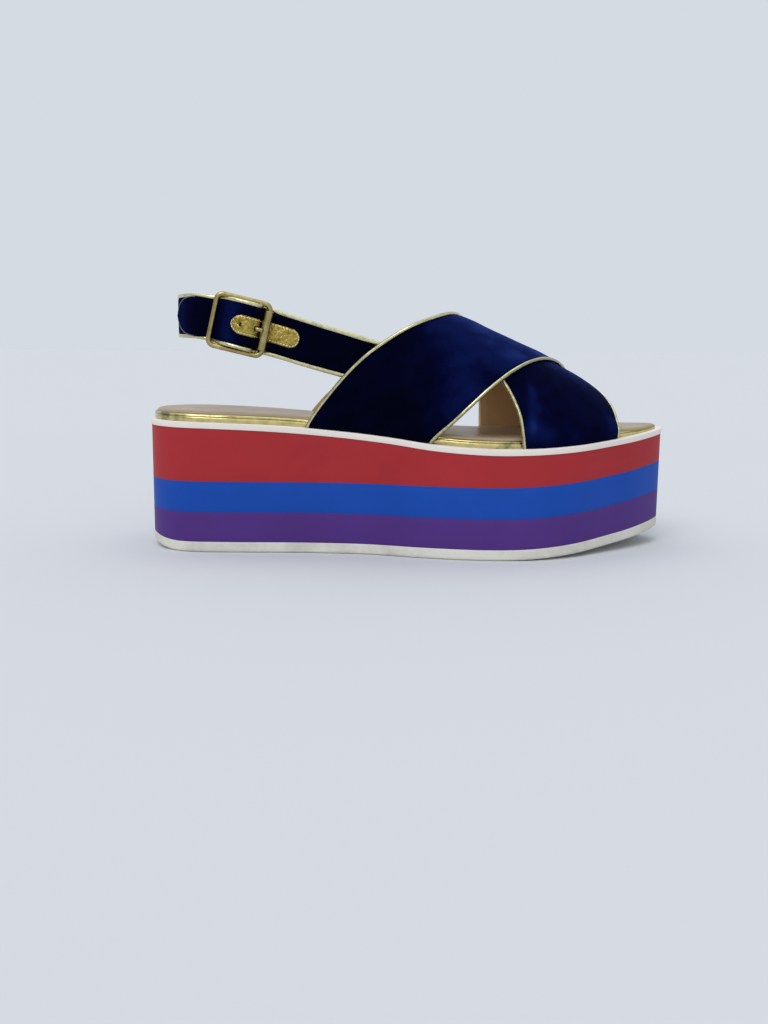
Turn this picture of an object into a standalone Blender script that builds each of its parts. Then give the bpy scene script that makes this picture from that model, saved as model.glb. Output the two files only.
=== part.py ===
"""Right platform sandal with crossed vamp straps and a buckled heel strap, standing on its sole.

All sizes are in millimetres and become metres when a mesh is made. Shape functions take x from the
back of the heel to the toe, y towards the medial side and z from the floor.
"""
import math

import bmesh
import bpy
import numpy as np

MM = 0.001
GAP = 0.3

# Platform
LENGTH = 249.2
TOE_SWING = 13.0
SWING_START = 120.0
HEEL_REACH = 27.0
TOE_REACH_LATERAL = 26.0
TOE_REACH_MEDIAL = 32.0
END_POWER = 2.1
STATIONS = 44
SPRING_START = 157.0
TOE_SPRING = 7.8
HEEL_BEVEL = 3.0
BEVEL_REACH = 17.0
BEVEL_KEPT = 0.85
OUTSOLE_TOP = 5.0
PURPLE_TOP = 18.9
BLUE_TOP = 33.1
RAND_HEIGHT = 2.8
RAND_PROUD = 0.4

# Half widths either side of the sole's axis, before the heel and toe are rounded off
OUTLINE = np.array([
    # along, lateral, medial
    (0.0, 30.0, 29.0),
    (40.0, 31.2, 29.6),
    (80.0, 31.0, 27.0),
    (105.0, 33.5, 27.5),
    (130.0, 41.0, 31.0),
    (160.0, 48.5, 35.5),
    (180.0, 50.0, 36.0),
    (200.0, 44.5, 34.5),
    (220.0, 32.0, 31.0),
    (235.0, 23.0, 27.2),
    (249.2, 15.0, 23.0),
])

# Height of the red layer's top before the toe spring is added
STACK = np.array([
    # along, height
    (0.0, 58.0),
    (30.0, 57.4),
    (60.0, 56.2),
    (90.0, 54.0),
    (115.0, 51.5),
    (135.0, 49.0),
    (155.0, 47.7),
    (180.0, 47.3),
    (249.2, 46.3),
])

# Insole and its wrapped rim
RIM_LEDGE = 1.6
RIM_LEDGE_AT_STRAPS = 4.5
LEDGE_REAR = (30.0, 70.0)
LEDGE_FRONT = (227.0, 243.0)
RIM_WIDTH = 2.2
RIM_PROFILE = np.array([
    # inward, height above the platform
    (0.0, 0.3),
    (0.0, 2.2),
    (0.3, 2.8),
    (0.9, 3.1),
    (1.6, 2.9),
    (2.2, 2.5),
    (2.2, 0.3),
])
RIM_FULLNESS = np.array([
    # along, share of the rim's full height
    (0.0, 1.15),
    (120.0, 1.1),
    (190.0, 1.0),
    (225.0, 0.8),
    (238.0, 0.55),
    (249.2, 0.45),
])
INSOLE_TOP = 4.3

# Crossed straps
STRAP_INSET = 1.8
WALL = 2.2
SECTION_POWER = 2.25
RIDGE_BLEND = 0.3
OVERLAP = 0.6
SINK = WALL - OVERLAP
SINK_LATERAL = (0.04, 0.15)
SINK_MEDIAL = (0.855, 0.96)
SINK_BEHIND = (-35.0, -6.0)
ACROSS = 7
ALONG = 34
PIPING_RADIUS = 0.85
PIPING_SPARE = 0.1
PIPING_SIDES = 6
PIPING_STEPS = 34
PIPING_SAMPLES = 240

# Ridge of the foot: outer height above the platform, and its place across the width
RIDGE = np.array([
    # along, height, share of the width
    (60.0, 118.7, 0.50),
    (80.0, 106.7, 0.50),
    (100.0, 92.7, 0.505),
    (120.0, 77.4, 0.515),
    (145.0, 60.0, 0.53),
    (155.0, 56.0, 0.54),
    (165.0, 51.5, 0.55),
    (191.0, 39.8, 0.58),
    (210.0, 29.0, 0.60),
    (222.0, 20.4, 0.60),
    (235.0, 13.7, 0.60),
])

# Strap edges along the foot, by share of the way round from the lateral to the medial base
STRAP_EDGES = np.array([
    # round, over rear, over front, under rear, under front
    (0.00, 77.0, 131.6, 175.0, 222.0),
    (0.04, 87.5, 140.7, 174.1, 222.3),
    (0.09, 99.0, 149.4, 172.7, 222.6),
    (0.15, 111.8, 158.3, 169.4, 222.6),
    (0.22, 123.6, 167.5, 163.5, 222.0),
    (0.30, 133.8, 177.2, 158.2, 220.9),
    (0.40, 142.3, 188.0, 153.5, 218.4),
    (0.50, 148.0, 196.4, 149.0, 212.2),
    (0.60, 152.5, 202.0, 144.0, 201.0),
    (0.70, 156.0, 207.0, 135.5, 186.0),
    (0.80, 158.8, 211.5, 122.3, 168.5),
    (0.90, 160.7, 214.5, 103.0, 149.5),
    (1.00, 161.3, 216.0, 72.3, 131.0),
])

# Heel sling: path of the buckle's plane in plan, then each strap's distance from it
SLING_LATERAL = -31.6
SLING_MEDIAL = 29.4
SLING_LATERAL_TUCK = 2.7
SLING_MEDIAL_TUCK = 5.3
TUCK_SPAN = (50.0, 116.0)
SLING_FRONT = 118.0
HEEL_CENTRE = 34.0
HEEL_BACK = 10.4
FRONT_BAR_ALONG = 58.4
SLING_WALL = 1.5
SLING_PIPING = 0.8
TAB_END = 48.2
TAB_ROUND = 13.0
PIPING_FROM_ROUND = 1.0
PIPED_FOLD_ROWS = 4
HEEL_POINTS = 46
SLING_WIDTH = np.array([
    # behind the front bar, half width
    (-58.0, 8.0),
    (-20.0, 8.4),
    (0.0, 8.4),
    (14.0, 8.4),
    (30.0, 8.2),
    (60.0, 8.0),
])
SLING_HEIGHT = np.array([
    # along, height of the strap's middle
    (10.0, 108.3),
    (22.0, 108.0),
    (35.0, 106.7),
    (58.4, 101.3),
    (80.0, 95.0),
    (103.0, 88.5),
    (118.0, 83.7),
])

# Fastening strap through the buckle: distance behind the front bar, distance out from the frame
TAB_WEAVE = np.array([
    # behind, out
    (-58.0, -3.2),
    (-40.0, -3.2),
    (-24.0, -3.2),
    (-12.0, -3.3),
    (-5.0, -3.6),
    (0.0, -3.75),
    (1.7, -3.6),
    (3.0, -2.7),
    (3.75, -1.5),
    (4.1, -0.2),
    (4.4, 1.1),
    (5.0, 2.25),
    (6.1, 3.15),
    (7.5, 3.72),
    (9.5, 3.95),
    (12.0, 3.75),
    (15.0, 2.9),
    (18.0, 1.1),
    (21.0, -1.0),
    (24.0, -2.15),
    (28.0, -2.3),
    (54.0, -2.3),
])
WEAVE_START = -6.0
WEAVE_STOP = 28.0

# Heel strap's folded end round the centre bar: distance behind the front bar, out, thickness
FOLD = np.array([
    # behind, out, thickness
    (30.0, -4.3, 1.5),
    (26.0, -4.3, 1.5),
    (22.0, -4.2, 1.4),
    (18.5, -3.7, 1.2),
    (15.5, -2.7, 1.0),
    (13.5, -1.95, 1.0),
])
FOLD_RETURN = np.array([
    # behind, out, thickness
    (13.6, 1.55, 1.0),
    (15.2, 0.6, 1.0),
    (16.8, -0.9, 1.0),
    (18.0, -1.95, 1.0),
])
FOLD_RADIUS = 1.75
HEEL_STRAP_OUT = -4.3
FOLD_SLOT = (8.6, 15.3, 1.5)
FOLD_SLOT_OUT = (-3.4, 3.4)

# Buckle
BAR_RADIUS = 1.0
FRAME_SIDES = 10
BUCKLE_LENGTH = 24.4
BUCKLE_HALF_WIDTH = 11.6
BUCKLE_CORNER = 2.8
CENTRE_BAR = 12.0
CENTRE_BAR_RADIUS = 0.85
CENTRE_BAR_SIDES = 8
ROLLER_BEHIND = 0.4
ROLLER_INNER = 1.75
ROLLER_OUTER = 2.15
ROLLER_HALF = 8.8
ROLLER_SIDES = 14
PRONG_RADIUS = 0.8
PRONG_SIDES = 8
PRONG_LOOP = 1.95
PRONG_LOOP_TURN = (-60.0, 90.0)
PRONG_SHAFT = np.array([
    # behind the front bar, out
    (8.0, 1.9),
    (4.6, 2.6),
    (2.6, 3.15),
    (1.3, 3.15),
])
PATCH_SPAN = (-15.5, 15.0)
PATCH_HALF = 4.4
PATCH_WALL = 0.4
PATCH_GAP = 0.15
HOLE_HALF = 0.9
HOLE_LENGTH = 1.3
HOLE_OUT = (-8.0, 8.0)
HOLES = (-10.4, -4.8, 10.9)
PRONG_SLOT = (3.0, 8.4, 1.2)
PRONG_SLOT_OUT = (0.5, 8.0)

# Colours: red, green, blue, roughness, metallic
FINISHES = {
    "outsole": (0.52, 0.50, 0.47, 0.6, 0.0),
    "platform_purple": (0.075, 0.034, 0.185, 0.55, 0.0),
    "platform_blue": (0.0123, 0.068, 0.379, 0.55, 0.0),
    "platform_red": (0.36, 0.033, 0.04, 0.55, 0.0),
    "platform_white": (0.72, 0.65, 0.60, 0.5, 0.0),
    "insole": (0.44, 0.36, 0.26, 0.6, 0.0),
    "velvet": (0.006, 0.012, 0.075, 0.9, 0.0),
    "gold_leather": (0.55, 0.47, 0.20, 0.32, 0.85),
    "brass": (0.40, 0.33, 0.18, 0.35, 1.0),
}


def smooth(table, column, x):
    """Cubic curve through the rows of a table, with slopes taken from the neighbouring rows."""
    xs, ys = table[:, 0], table[:, column]
    slope = np.gradient(ys, xs)
    x = np.clip(np.asarray(x, float), xs[0], xs[-1])
    i = np.clip(np.searchsorted(xs, x, side="right") - 1, 0, len(xs) - 2)
    h = xs[i + 1] - xs[i]
    t = (x - xs[i]) / h
    start = (1 + 2 * t) * (1 - t) ** 2 * ys[i] + t * (1 - t) ** 2 * h * slope[i]
    return start + t * t * (3 - 2 * t) * ys[i + 1] + t * t * (t - 1) * h * slope[i + 1]


def ease(t):
    t = np.clip(t, 0.0, 1.0)
    return t * t * (3 - 2 * t)


def span(x, ends):
    """Eased share of the way from one end of a span to the other."""
    return ease((np.asarray(x, float) - ends[0]) / (ends[1] - ends[0]))


def unit(v):
    return v / np.linalg.norm(v, axis=-1, keepdims=True)


def rounded(distance, reach):
    """Closing factor of a round end: nought at the tip, one beyond its reach."""
    d = np.clip(1 - np.asarray(distance, float) / reach, 0.0, 1.0)
    return (1 - d ** END_POWER) ** (1 / END_POWER)


def sole_axis(x):
    return TOE_SWING * span(x, (SWING_START, LENGTH))


def lateral_edge(x):
    ends = rounded(x, HEEL_REACH) * rounded(LENGTH - x, TOE_REACH_LATERAL)
    return sole_axis(x) - smooth(OUTLINE, 1, x) * ends


def medial_edge(x):
    ends = rounded(x, HEEL_REACH) * rounded(LENGTH - x, TOE_REACH_MEDIAL)
    return sole_axis(x) + smooth(OUTLINE, 2, x) * ends


def toe_spring(x):
    return TOE_SPRING * np.clip((x - SPRING_START) / (LENGTH - SPRING_START), 0.0, 1.0) ** 2


def heel_bevel(x):
    return HEEL_BEVEL * np.clip(1 - x / BEVEL_REACH, 0.0, 1.0) ** 2


def rand_top(x):
    return smooth(STACK, 1, x) + toe_spring(x) + RAND_HEIGHT


def rim_ledge(x):
    near_straps = span(x, LEDGE_REAR) * (1 - span(x, LEDGE_FRONT))
    return RIM_LEDGE + (RIM_LEDGE_AT_STRAPS - RIM_LEDGE) * near_straps


STATION_X = LENGTH * (1 - np.cos(np.linspace(0.0, math.pi, STATIONS))) / 2
EDGE_RING = np.concatenate([
    np.stack([STATION_X, lateral_edge(STATION_X)], 1),
    np.stack([STATION_X, medial_edge(STATION_X)], 1)[-2:0:-1],
])
MID_X = LENGTH / 2
MID_Y = (EDGE_RING[:, 1].min() + EDGE_RING[:, 1].max()) / 2


def plan_ring(inset):
    """Sole outline moved inwards, from the heel along the lateral side to the toe and back."""
    along = unit(np.roll(EDGE_RING, -1, 0) - np.roll(EDGE_RING, 1, 0))
    inward = np.stack([-along[:, 1], along[:, 0]], 1)
    return EDGE_RING + inward * np.broadcast_to(inset, len(EDGE_RING))[:, None]


def vamp(x, around):
    """Outer face of a strap on the foot: nought at the lateral base, one at the medial base."""
    low = lateral_edge(x) + STRAP_INSET
    high = medial_edge(x) - STRAP_INSET
    ridge = low + (high - low) * smooth(RIDGE, 2, x)
    angle = math.pi * np.clip(around, 0.0, 1.0)
    c, s = np.cos(angle), np.sin(angle)
    eased = (c ** 2 + RIDGE_BLEND ** 2) / (1 + RIDGE_BLEND ** 2)
    half = (high - low) / 2 + (ridge - (low + high) / 2) * c / np.sqrt(eased)
    y = ridge - half * c * eased ** (1 / SECTION_POWER - 0.5)
    z = rand_top(x) + GAP + smooth(RIDGE, 1, x) * np.clip(s, 0.0, 1.0) ** (2 / SECTION_POWER)
    return np.stack([x, y, z], -1)


def vamp_normal(x, around):
    small_x, small_a = 0.2, 0.002
    a = np.clip(around, 2 * small_a, 1 - 2 * small_a)
    by_x = vamp(x + small_x, a) - vamp(x - small_x, a)
    by_a = vamp(x, a + small_a) - vamp(x, a - small_a)
    return unit(np.cross(by_x, by_a))


def under_sink(x, around):
    """How far the lower strap lies sunk, as a share, where the upper one crosses it."""
    from_upper = x - smooth(STRAP_EDGES, 1, around)
    return span(around, SINK_LATERAL) * (1 - span(around, SINK_MEDIAL)) * span(from_upper, SINK_BEHIND)


def place(points):
    """Millimetres from the heel into metres about the middle of the footprint."""
    return (np.asarray(points, float) - (MID_X, MID_Y, 0.0)) * MM


def finish(name):
    colour = FINISHES[name]
    material = bpy.data.materials.get(name) or bpy.data.materials.new(name)
    material.use_nodes = True
    shader = material.node_tree.nodes["Principled BSDF"]
    shader.inputs["Base Color"].default_value = (*colour[:3], 1.0)
    shader.inputs["Roughness"].default_value = colour[3]
    shader.inputs["Metallic"].default_value = colour[4]
    material.diffuse_color = (*colour[:3], 1.0)
    return material


def solid(name, points, faces, material):
    """Closed mesh object from points in millimetres, with its faces turned outwards."""
    mesh = bpy.data.meshes.new(name)
    mesh.from_pydata([tuple(p) for p in place(points)], [], [tuple(int(i) for i in f) for f in faces])
    work = bmesh.new()
    work.from_mesh(mesh)
    bmesh.ops.triangulate(work, faces=work.faces[:])
    bmesh.ops.recalc_face_normals(work, faces=work.faces[:])
    work.to_mesh(mesh)
    work.free()
    mesh.materials.append(finish(material))
    thing = bpy.data.objects.new(name, mesh)
    bpy.context.collection.objects.link(thing)
    return thing


def combine(thing, other, operation):
    """Adds or cuts another solid exactly; the helper stays hidden as a wire."""
    modifier = thing.modifiers.new(other.name, "BOOLEAN")
    modifier.operation = operation
    modifier.solver = "EXACT"
    modifier.object = other
    other.hide_render = True
    other.display_type = "WIRE"


def bake(thing):
    """Keeps the evaluated shape as the object's own mesh and removes its helpers."""
    helpers = [m.object for m in thing.modifiers]
    graph = bpy.context.evaluated_depsgraph_get()
    result = bpy.data.meshes.new_from_object(thing.evaluated_get(graph))
    thing.modifiers.clear()
    thing.data = result
    for helper in helpers:
        bpy.data.objects.remove(helper, do_unlink=True)


def strip_caps(count, offset):
    """Faces across a ring of the sole, joining the lateral and medial point of each station."""
    half = count // 2
    faces = []
    for i in range(half):
        a, b, c, d = i, i + 1, (count - i - 1) % count, (count - i) % count
        faces.append([offset + k for k in dict.fromkeys((a, b, c, d))])
    return faces


def ring_faces(rings):
    """Faces between closed rings of equal size, from the last ring back to the first."""
    count, size = len(rings), len(rings[0])
    faces = []
    for j in range(count):
        k = (j + 1) % count
        for i in range(size):
            n = (i + 1) % size
            faces.append((j * size + i, j * size + n, k * size + n, k * size + i))
    return faces


def layer(name, material, inset, low, high):
    """Slab of the sole's outline between two heights that change only along the foot."""
    ring = plan_ring(inset)
    count = len(ring)
    x = ring[:, 0]
    points = np.concatenate([np.column_stack([ring, low(x)]), np.column_stack([ring, high(x)])])
    faces = [(i, (i + 1) % count, count + (i + 1) % count, count + i) for i in range(count)]
    faces += strip_caps(count, 0) + strip_caps(count, count)
    return solid(name, points, faces, material)


def build_sole():
    layer("outsole", "outsole", 0.0,
          lambda x: toe_spring(x) + heel_bevel(x),
          lambda x: toe_spring(x) + BEVEL_KEPT * heel_bevel(x) + OUTSOLE_TOP - GAP)
    layer("platform_purple", "platform_purple", 0.0,
          lambda x: toe_spring(x) + BEVEL_KEPT * heel_bevel(x) + OUTSOLE_TOP,
          lambda x: toe_spring(x) + PURPLE_TOP - GAP)
    layer("platform_blue", "platform_blue", 0.0,
          lambda x: toe_spring(x) + PURPLE_TOP,
          lambda x: toe_spring(x) + BLUE_TOP - GAP)
    layer("platform_red", "platform_red", 0.0,
          lambda x: toe_spring(x) + BLUE_TOP,
          lambda x: rand_top(x) - RAND_HEIGHT - GAP)
    layer("platform_white", "platform_white", -RAND_PROUD,
          lambda x: rand_top(x) - RAND_HEIGHT,
          rand_top)
    ledge = rim_ledge(EDGE_RING[:, 0])
    layer("insole", "insole", ledge + RIM_WIDTH + GAP,
          lambda x: rand_top(x) + GAP,
          lambda x: rand_top(x) + GAP + (INSOLE_TOP - GAP) * smooth(RIM_FULLNESS, 1, x))
    rings = []
    for inward, height in RIM_PROFILE:
        ring = plan_ring(ledge + inward)
        x = ring[:, 0]
        rings.append(np.column_stack([ring, rand_top(x) + GAP + (height - GAP) * smooth(RIM_FULLNESS, 1, x)]))
    solid("insole_rim", np.concatenate(rings), ring_faces(rings), "gold_leather")


def strap(name, rear, front, sunk):
    """Curved strip of even wall between two edge columns, sunk where it passes below the other."""
    around = np.linspace(0.0, 1.0, ALONG + 1)
    across = np.linspace(0.0, 1.0, ACROSS + 1)
    a, u = np.meshgrid(around, across, indexing="ij")
    start, stop = smooth(STRAP_EDGES, rear, a), smooth(STRAP_EDGES, front, a)
    x = start + (stop - start) * u
    base, out = vamp(x, a), vamp_normal(x, a)
    depth = SINK * under_sink(x, a)[..., None] * sunk
    outer = (base - out * depth).reshape(-1, 3)
    inner = (base - out * (depth + WALL)).reshape(-1, 3)
    row, total = ACROSS + 1, (ALONG + 1) * (ACROSS + 1)
    faces = []
    for i in range(ALONG):
        for j in range(ACROSS):
            p = i * row + j
            faces.append((p, p + 1, p + row + 1, p + row))
            faces.append((total + p, total + p + row, total + p + row + 1, total + p + 1))
        for p in (i * row, i * row + ACROSS):
            faces.append((p, p + row, total + p + row, total + p))
    for j in range(ACROSS):
        for p in (j, ALONG * row + j):
            faces.append((p, p + 1, total + p + 1, total + p))
    return solid(name, np.concatenate([outer, inner]), faces, "velvet")


def tube(name, path, radius, sides, material, closed=False):
    """Round bead along a path of points, with flat ends unless it closes on itself."""
    path = np.asarray(path, float)
    count = len(path)
    if closed:
        along = unit(np.roll(path, -1, 0) - np.roll(path, 1, 0))
    else:
        along = unit(np.gradient(path, axis=0))
    side = np.zeros_like(path)
    previous = np.cross(along[0], (0.31, 0.17, 0.93))
    for i in range(count):
        previous = previous - along[i] * np.dot(previous, along[i])
        previous = previous / np.linalg.norm(previous)
        side[i] = previous
    other = np.cross(along, side)
    turn = np.linspace(0.0, 2 * math.pi, sides, endpoint=False)
    ring = np.cos(turn)[None, :, None] * side[:, None] + np.sin(turn)[None, :, None] * other[:, None]
    points = (path[:, None] + radius * ring).reshape(-1, 3)
    faces = []
    for i in range(count if closed else count - 1):
        n = (i + 1) % count
        for j in range(sides):
            k = (j + 1) % sides
            faces.append((i * sides + j, i * sides + k, n * sides + k, n * sides + j))
    if not closed:
        faces.append(range(sides))
        faces.append(range((count - 1) * sides, count * sides))
    return solid(name, points, faces, material)


def even_steps(path, count):
    """The same path through evenly spaced points."""
    length = np.concatenate([[0.0], np.cumsum(np.linalg.norm(np.diff(path, axis=0), axis=1))])
    even = np.linspace(0.0, length[-1], count)
    return np.stack([np.interp(even, length, path[:, k]) for k in range(path.shape[1])], 1)


def edge_bead(name, column, outward, start, stop, sunk):
    """Piping just outside one edge of a strap, over part of the way round, clear of the platform."""
    a = np.linspace(start, stop, PIPING_SAMPLES)
    x = smooth(STRAP_EDGES, column, a)
    middle = vamp(x, a)
    out = vamp_normal(x, a)
    along = unit(np.gradient(middle, axis=0))
    sideways = unit(np.cross(out, along))
    sideways = sideways * np.sign(sideways[:, :1]) * outward
    if sunk:
        depth = WALL / 2 + SINK * under_sink(x, a)
    else:
        above_lower = SINK - GAP - PIPING_RADIUS - PIPING_SPARE
        depth = WALL / 2 + (above_lower - WALL / 2) * under_sink(x, a)
    path = middle - out * depth[:, None] + sideways * (PIPING_RADIUS + GAP)
    path = path[path[:, 2] > rand_top(path[:, 0]) + GAP + PIPING_RADIUS]
    path = even_steps(path, max(8, round(PIPING_STEPS * abs(stop - start))))
    tube(name, path, PIPING_RADIUS, PIPING_SIDES, "gold_leather")


def build_upper():
    upper = strap("upper", 1, 2, False)
    under = strap("under_strap", 3, 4, True)
    combine(upper, under, "UNION")
    bake(upper)
    edge_bead("piping_over_rear", 1, -1.0, 0.0, 1.0, False)
    edge_bead("piping_over_front", 2, 1.0, 0.0, 1.0, False)
    edge_bead("piping_under_front_lateral", 4, 1.0, 0.0, 0.555, True)
    edge_bead("piping_under_rear_lateral", 3, -1.0, 0.0, 0.145, True)
    edge_bead("piping_under_rear_medial", 3, -1.0, 1.0, 0.565, True)
    edge_bead("piping_under_front_medial", 4, 1.0, 1.0, 0.875, True)


def sling_path():
    """Points of the buckle's plane along the sling, with the distance behind the front bar."""
    straight = np.linspace(SLING_FRONT, HEEL_CENTRE, 80)
    tuck = span(straight, TUCK_SPAN)
    lateral = np.stack([straight, SLING_LATERAL + SLING_LATERAL_TUCK * tuck], 1)
    medial = np.stack([straight, SLING_MEDIAL - SLING_MEDIAL_TUCK * tuck], 1)[::-1]
    turn = np.linspace(0.0, math.pi, 81)[1:-1]
    middle, half = (SLING_MEDIAL + SLING_LATERAL) / 2, (SLING_MEDIAL - SLING_LATERAL) / 2
    heel = np.stack([HEEL_CENTRE - (HEEL_CENTRE - HEEL_BACK) * np.sin(turn), middle - half * np.cos(turn)], 1)
    plan = np.concatenate([lateral, heel, medial])
    points = np.column_stack([plan, smooth(SLING_HEIGHT, 1, plan[:, 0])])
    distance = np.concatenate([[0.0], np.cumsum(np.linalg.norm(np.diff(points, axis=0), axis=1))])
    distance -= np.interp(SLING_FRONT - FRONT_BAR_ALONG, SLING_FRONT - straight, distance[:80])
    return distance, points


SLING_AT, SLING_POINTS = sling_path()


def wrap(behind, out, up):
    """Point beside the sling's path: along it, outwards from it and up across the strap."""
    behind, out, up = np.broadcast_arrays(*(np.asarray(v, float) for v in (behind, out, up)))

    def at(s):
        return np.stack([np.interp(s, SLING_AT, SLING_POINTS[:, k]) for k in range(3)], -1)

    step = 1.2
    along = unit(at(behind + step) - at(behind - step))
    level = unit(np.stack([-along[..., 1], along[..., 0], np.zeros_like(behind)], -1))
    rise = np.cross(level, along)
    rise = rise * np.sign(rise[..., 2:])
    return at(behind) + level * out[..., None] + rise * up[..., None]


def buckle_point(behind, out, up):
    """Point beside the stiff buckle, which lies straight from its front bar to its rear bar."""
    behind, out, up = np.broadcast_arrays(*(np.asarray(v, float) for v in (behind, out, up)))
    first, last = wrap((0.0, BUCKLE_LENGTH), 0.0, 0.0)
    along = unit(last - first)
    level = unit(np.array((-along[1], along[0], 0.0)))
    rise = np.cross(level, along)
    rise = rise * np.sign(rise[2])
    return first + behind[..., None] * along + out[..., None] * level + up[..., None] * rise


def offset_line(line, distance):
    """Polyline moved sideways in its own plane by an even or changing distance."""
    along = unit(np.gradient(line, axis=0))
    return line + np.stack([-along[:, 1], along[:, 0]], 1) * np.broadcast_to(distance, len(line))[:, None]


def ribbon(name, line, thickness, half, material):
    """Strap of the given middle line (behind, out), thickness and half width at each point."""
    thickness = np.broadcast_to(thickness, len(line))
    half = np.broadcast_to(half, len(line))
    corners = []
    for side, edge in ((1, 1), (1, -1), (-1, -1), (-1, 1)):
        moved = offset_line(line, side * thickness / 2)
        corners.append(wrap(moved[:, 0], moved[:, 1], edge * half))
    count = len(line)
    faces = []
    for j in range(4):
        k = (j + 1) % 4
        for i in range(count - 1):
            faces.append((j * count + i, j * count + i + 1, k * count + i + 1, k * count + i))
    for i in (0, count - 1):
        faces.append([j * count + i for j in range(4)])
    return solid(name, np.concatenate(corners), faces, material)


def block(name, behind, out, half):
    """Cutter box beside the sling's path."""
    points = [wrap(s, n, w) for s in behind for n in out for w in (-half, half)]
    faces = ((0, 1, 3, 2), (4, 6, 7, 5), (0, 4, 5, 1), (2, 3, 7, 6), (0, 2, 6, 4), (1, 5, 7, 3))
    return solid(name, points, faces, "brass")


def tab_line(start, stop, spacing):
    """Middle line of the fastening strap between two distances behind the front bar."""
    knots = TAB_WEAVE[:, 0]
    dense = np.concatenate([np.linspace(a, b, 9)[:-1] for a, b in zip(knots[:-1], knots[1:])] + [knots[-1:]])
    line = np.stack([dense, smooth(TAB_WEAVE, 1, dense)], 1)
    line = line[(dense >= start - 1e-6) & (dense <= stop + 1e-6)]
    length = np.linalg.norm(np.diff(line, axis=0), axis=1).sum()
    return even_steps(line, max(2, round(length / spacing) + 1))


def round_end(behind, end, reach, half):
    """Half width that closes in a round tip at the given end."""
    d = np.clip((reach - np.abs(end - behind)) / reach, 0.0, 0.995)
    return half * np.sqrt(1 - d ** 2)


def cut_holes(thing, label):
    for i, middle in enumerate(HOLES):
        ends = (middle - HOLE_LENGTH / 2, middle + HOLE_LENGTH / 2)
        combine(thing, block(f"{label}_hole_{i}", ends, HOLE_OUT, HOLE_HALF), "DIFFERENCE")
    combine(thing, block(f"{label}_prong_hole", PRONG_SLOT[:2], PRONG_SLOT_OUT, PRONG_SLOT[2]), "DIFFERENCE")
    bake(thing)


def build_sling():
    first, last = TAB_WEAVE[0, 0], TAB_WEAVE[-1, 0]
    line = np.concatenate([
        tab_line(first, WEAVE_START, 4.0)[:-1],
        tab_line(WEAVE_START, WEAVE_STOP, 1.1)[:-1],
        tab_line(WEAVE_STOP, last, 1.6)])
    line = np.concatenate([line[line[:, 0] < TAB_END], [(TAB_END, TAB_WEAVE[-1, 1])]])
    half = round_end(line[:, 0], TAB_END, TAB_ROUND, smooth(SLING_WIDTH, 1, line[:, 0]))
    tab = ribbon("sling_strap", line, SLING_WALL, half, "velvet")
    cut_holes(tab, "strap")

    patch_middle = np.concatenate([
        tab_line(PATCH_SPAN[0], WEAVE_START, 1.6)[:-1],
        tab_line(WEAVE_START, PATCH_SPAN[1], 1.1)])
    to_first = round_end(patch_middle[:, 0], PATCH_SPAN[0], PATCH_HALF, PATCH_HALF)
    to_last = round_end(patch_middle[:, 0], PATCH_SPAN[1], PATCH_HALF, PATCH_HALF)
    raised = offset_line(patch_middle, SLING_WALL / 2 + PATCH_GAP + PATCH_WALL / 2)
    patch = ribbon("hole_patch", raised, PATCH_WALL, np.minimum(to_first, to_last), "gold_leather")
    cut_holes(patch, "patch")

    arc = np.radians(np.linspace(-90.0, -270.0, 9))
    bend = np.column_stack([
        CENTRE_BAR + FOLD_RADIUS * np.cos(arc), FOLD_RADIUS * np.sin(arc), np.full(len(arc), FOLD[-1, 2])])
    loop = np.linspace(SLING_AT[-1] - 1.0, FOLD[0, 0], HEEL_POINTS)[:-1]
    heel = np.concatenate([
        np.column_stack([loop, np.full(len(loop), HEEL_STRAP_OUT), np.full(len(loop), SLING_WALL)]),
        FOLD, bend, FOLD_RETURN])
    heel_strap = ribbon("heel_strap", heel[:, :2], heel[:, 2], smooth(SLING_WIDTH, 1, heel[:, 0]), "velvet")
    combine(heel_strap, block("fold_slot", FOLD_SLOT[:2], FOLD_SLOT_OUT, FOLD_SLOT[2]), "DIFFERENCE")
    bake(heel_strap)

    main_line = line[line[:, 0] < TAB_END - TAB_ROUND - PIPING_FROM_ROUND]
    piped = heel[:len(loop) + PIPED_FOLD_ROWS]
    for label, side in (("top", 1.0), ("bottom", -1.0)):
        edge = side * (smooth(SLING_WIDTH, 1, main_line[:, 0]) + GAP + SLING_PIPING)
        path = wrap(main_line[:, 0], main_line[:, 1], edge)
        tube(f"piping_sling_{label}", path, SLING_PIPING, PIPING_SIDES, "gold_leather")
        edge = side * (smooth(SLING_WIDTH, 1, piped[:, 0]) + GAP + SLING_PIPING)
        path = wrap(piped[:, 0], piped[:, 1], edge)
        tube(f"piping_heel_{label}", path, SLING_PIPING, PIPING_SIDES, "gold_leather")


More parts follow.
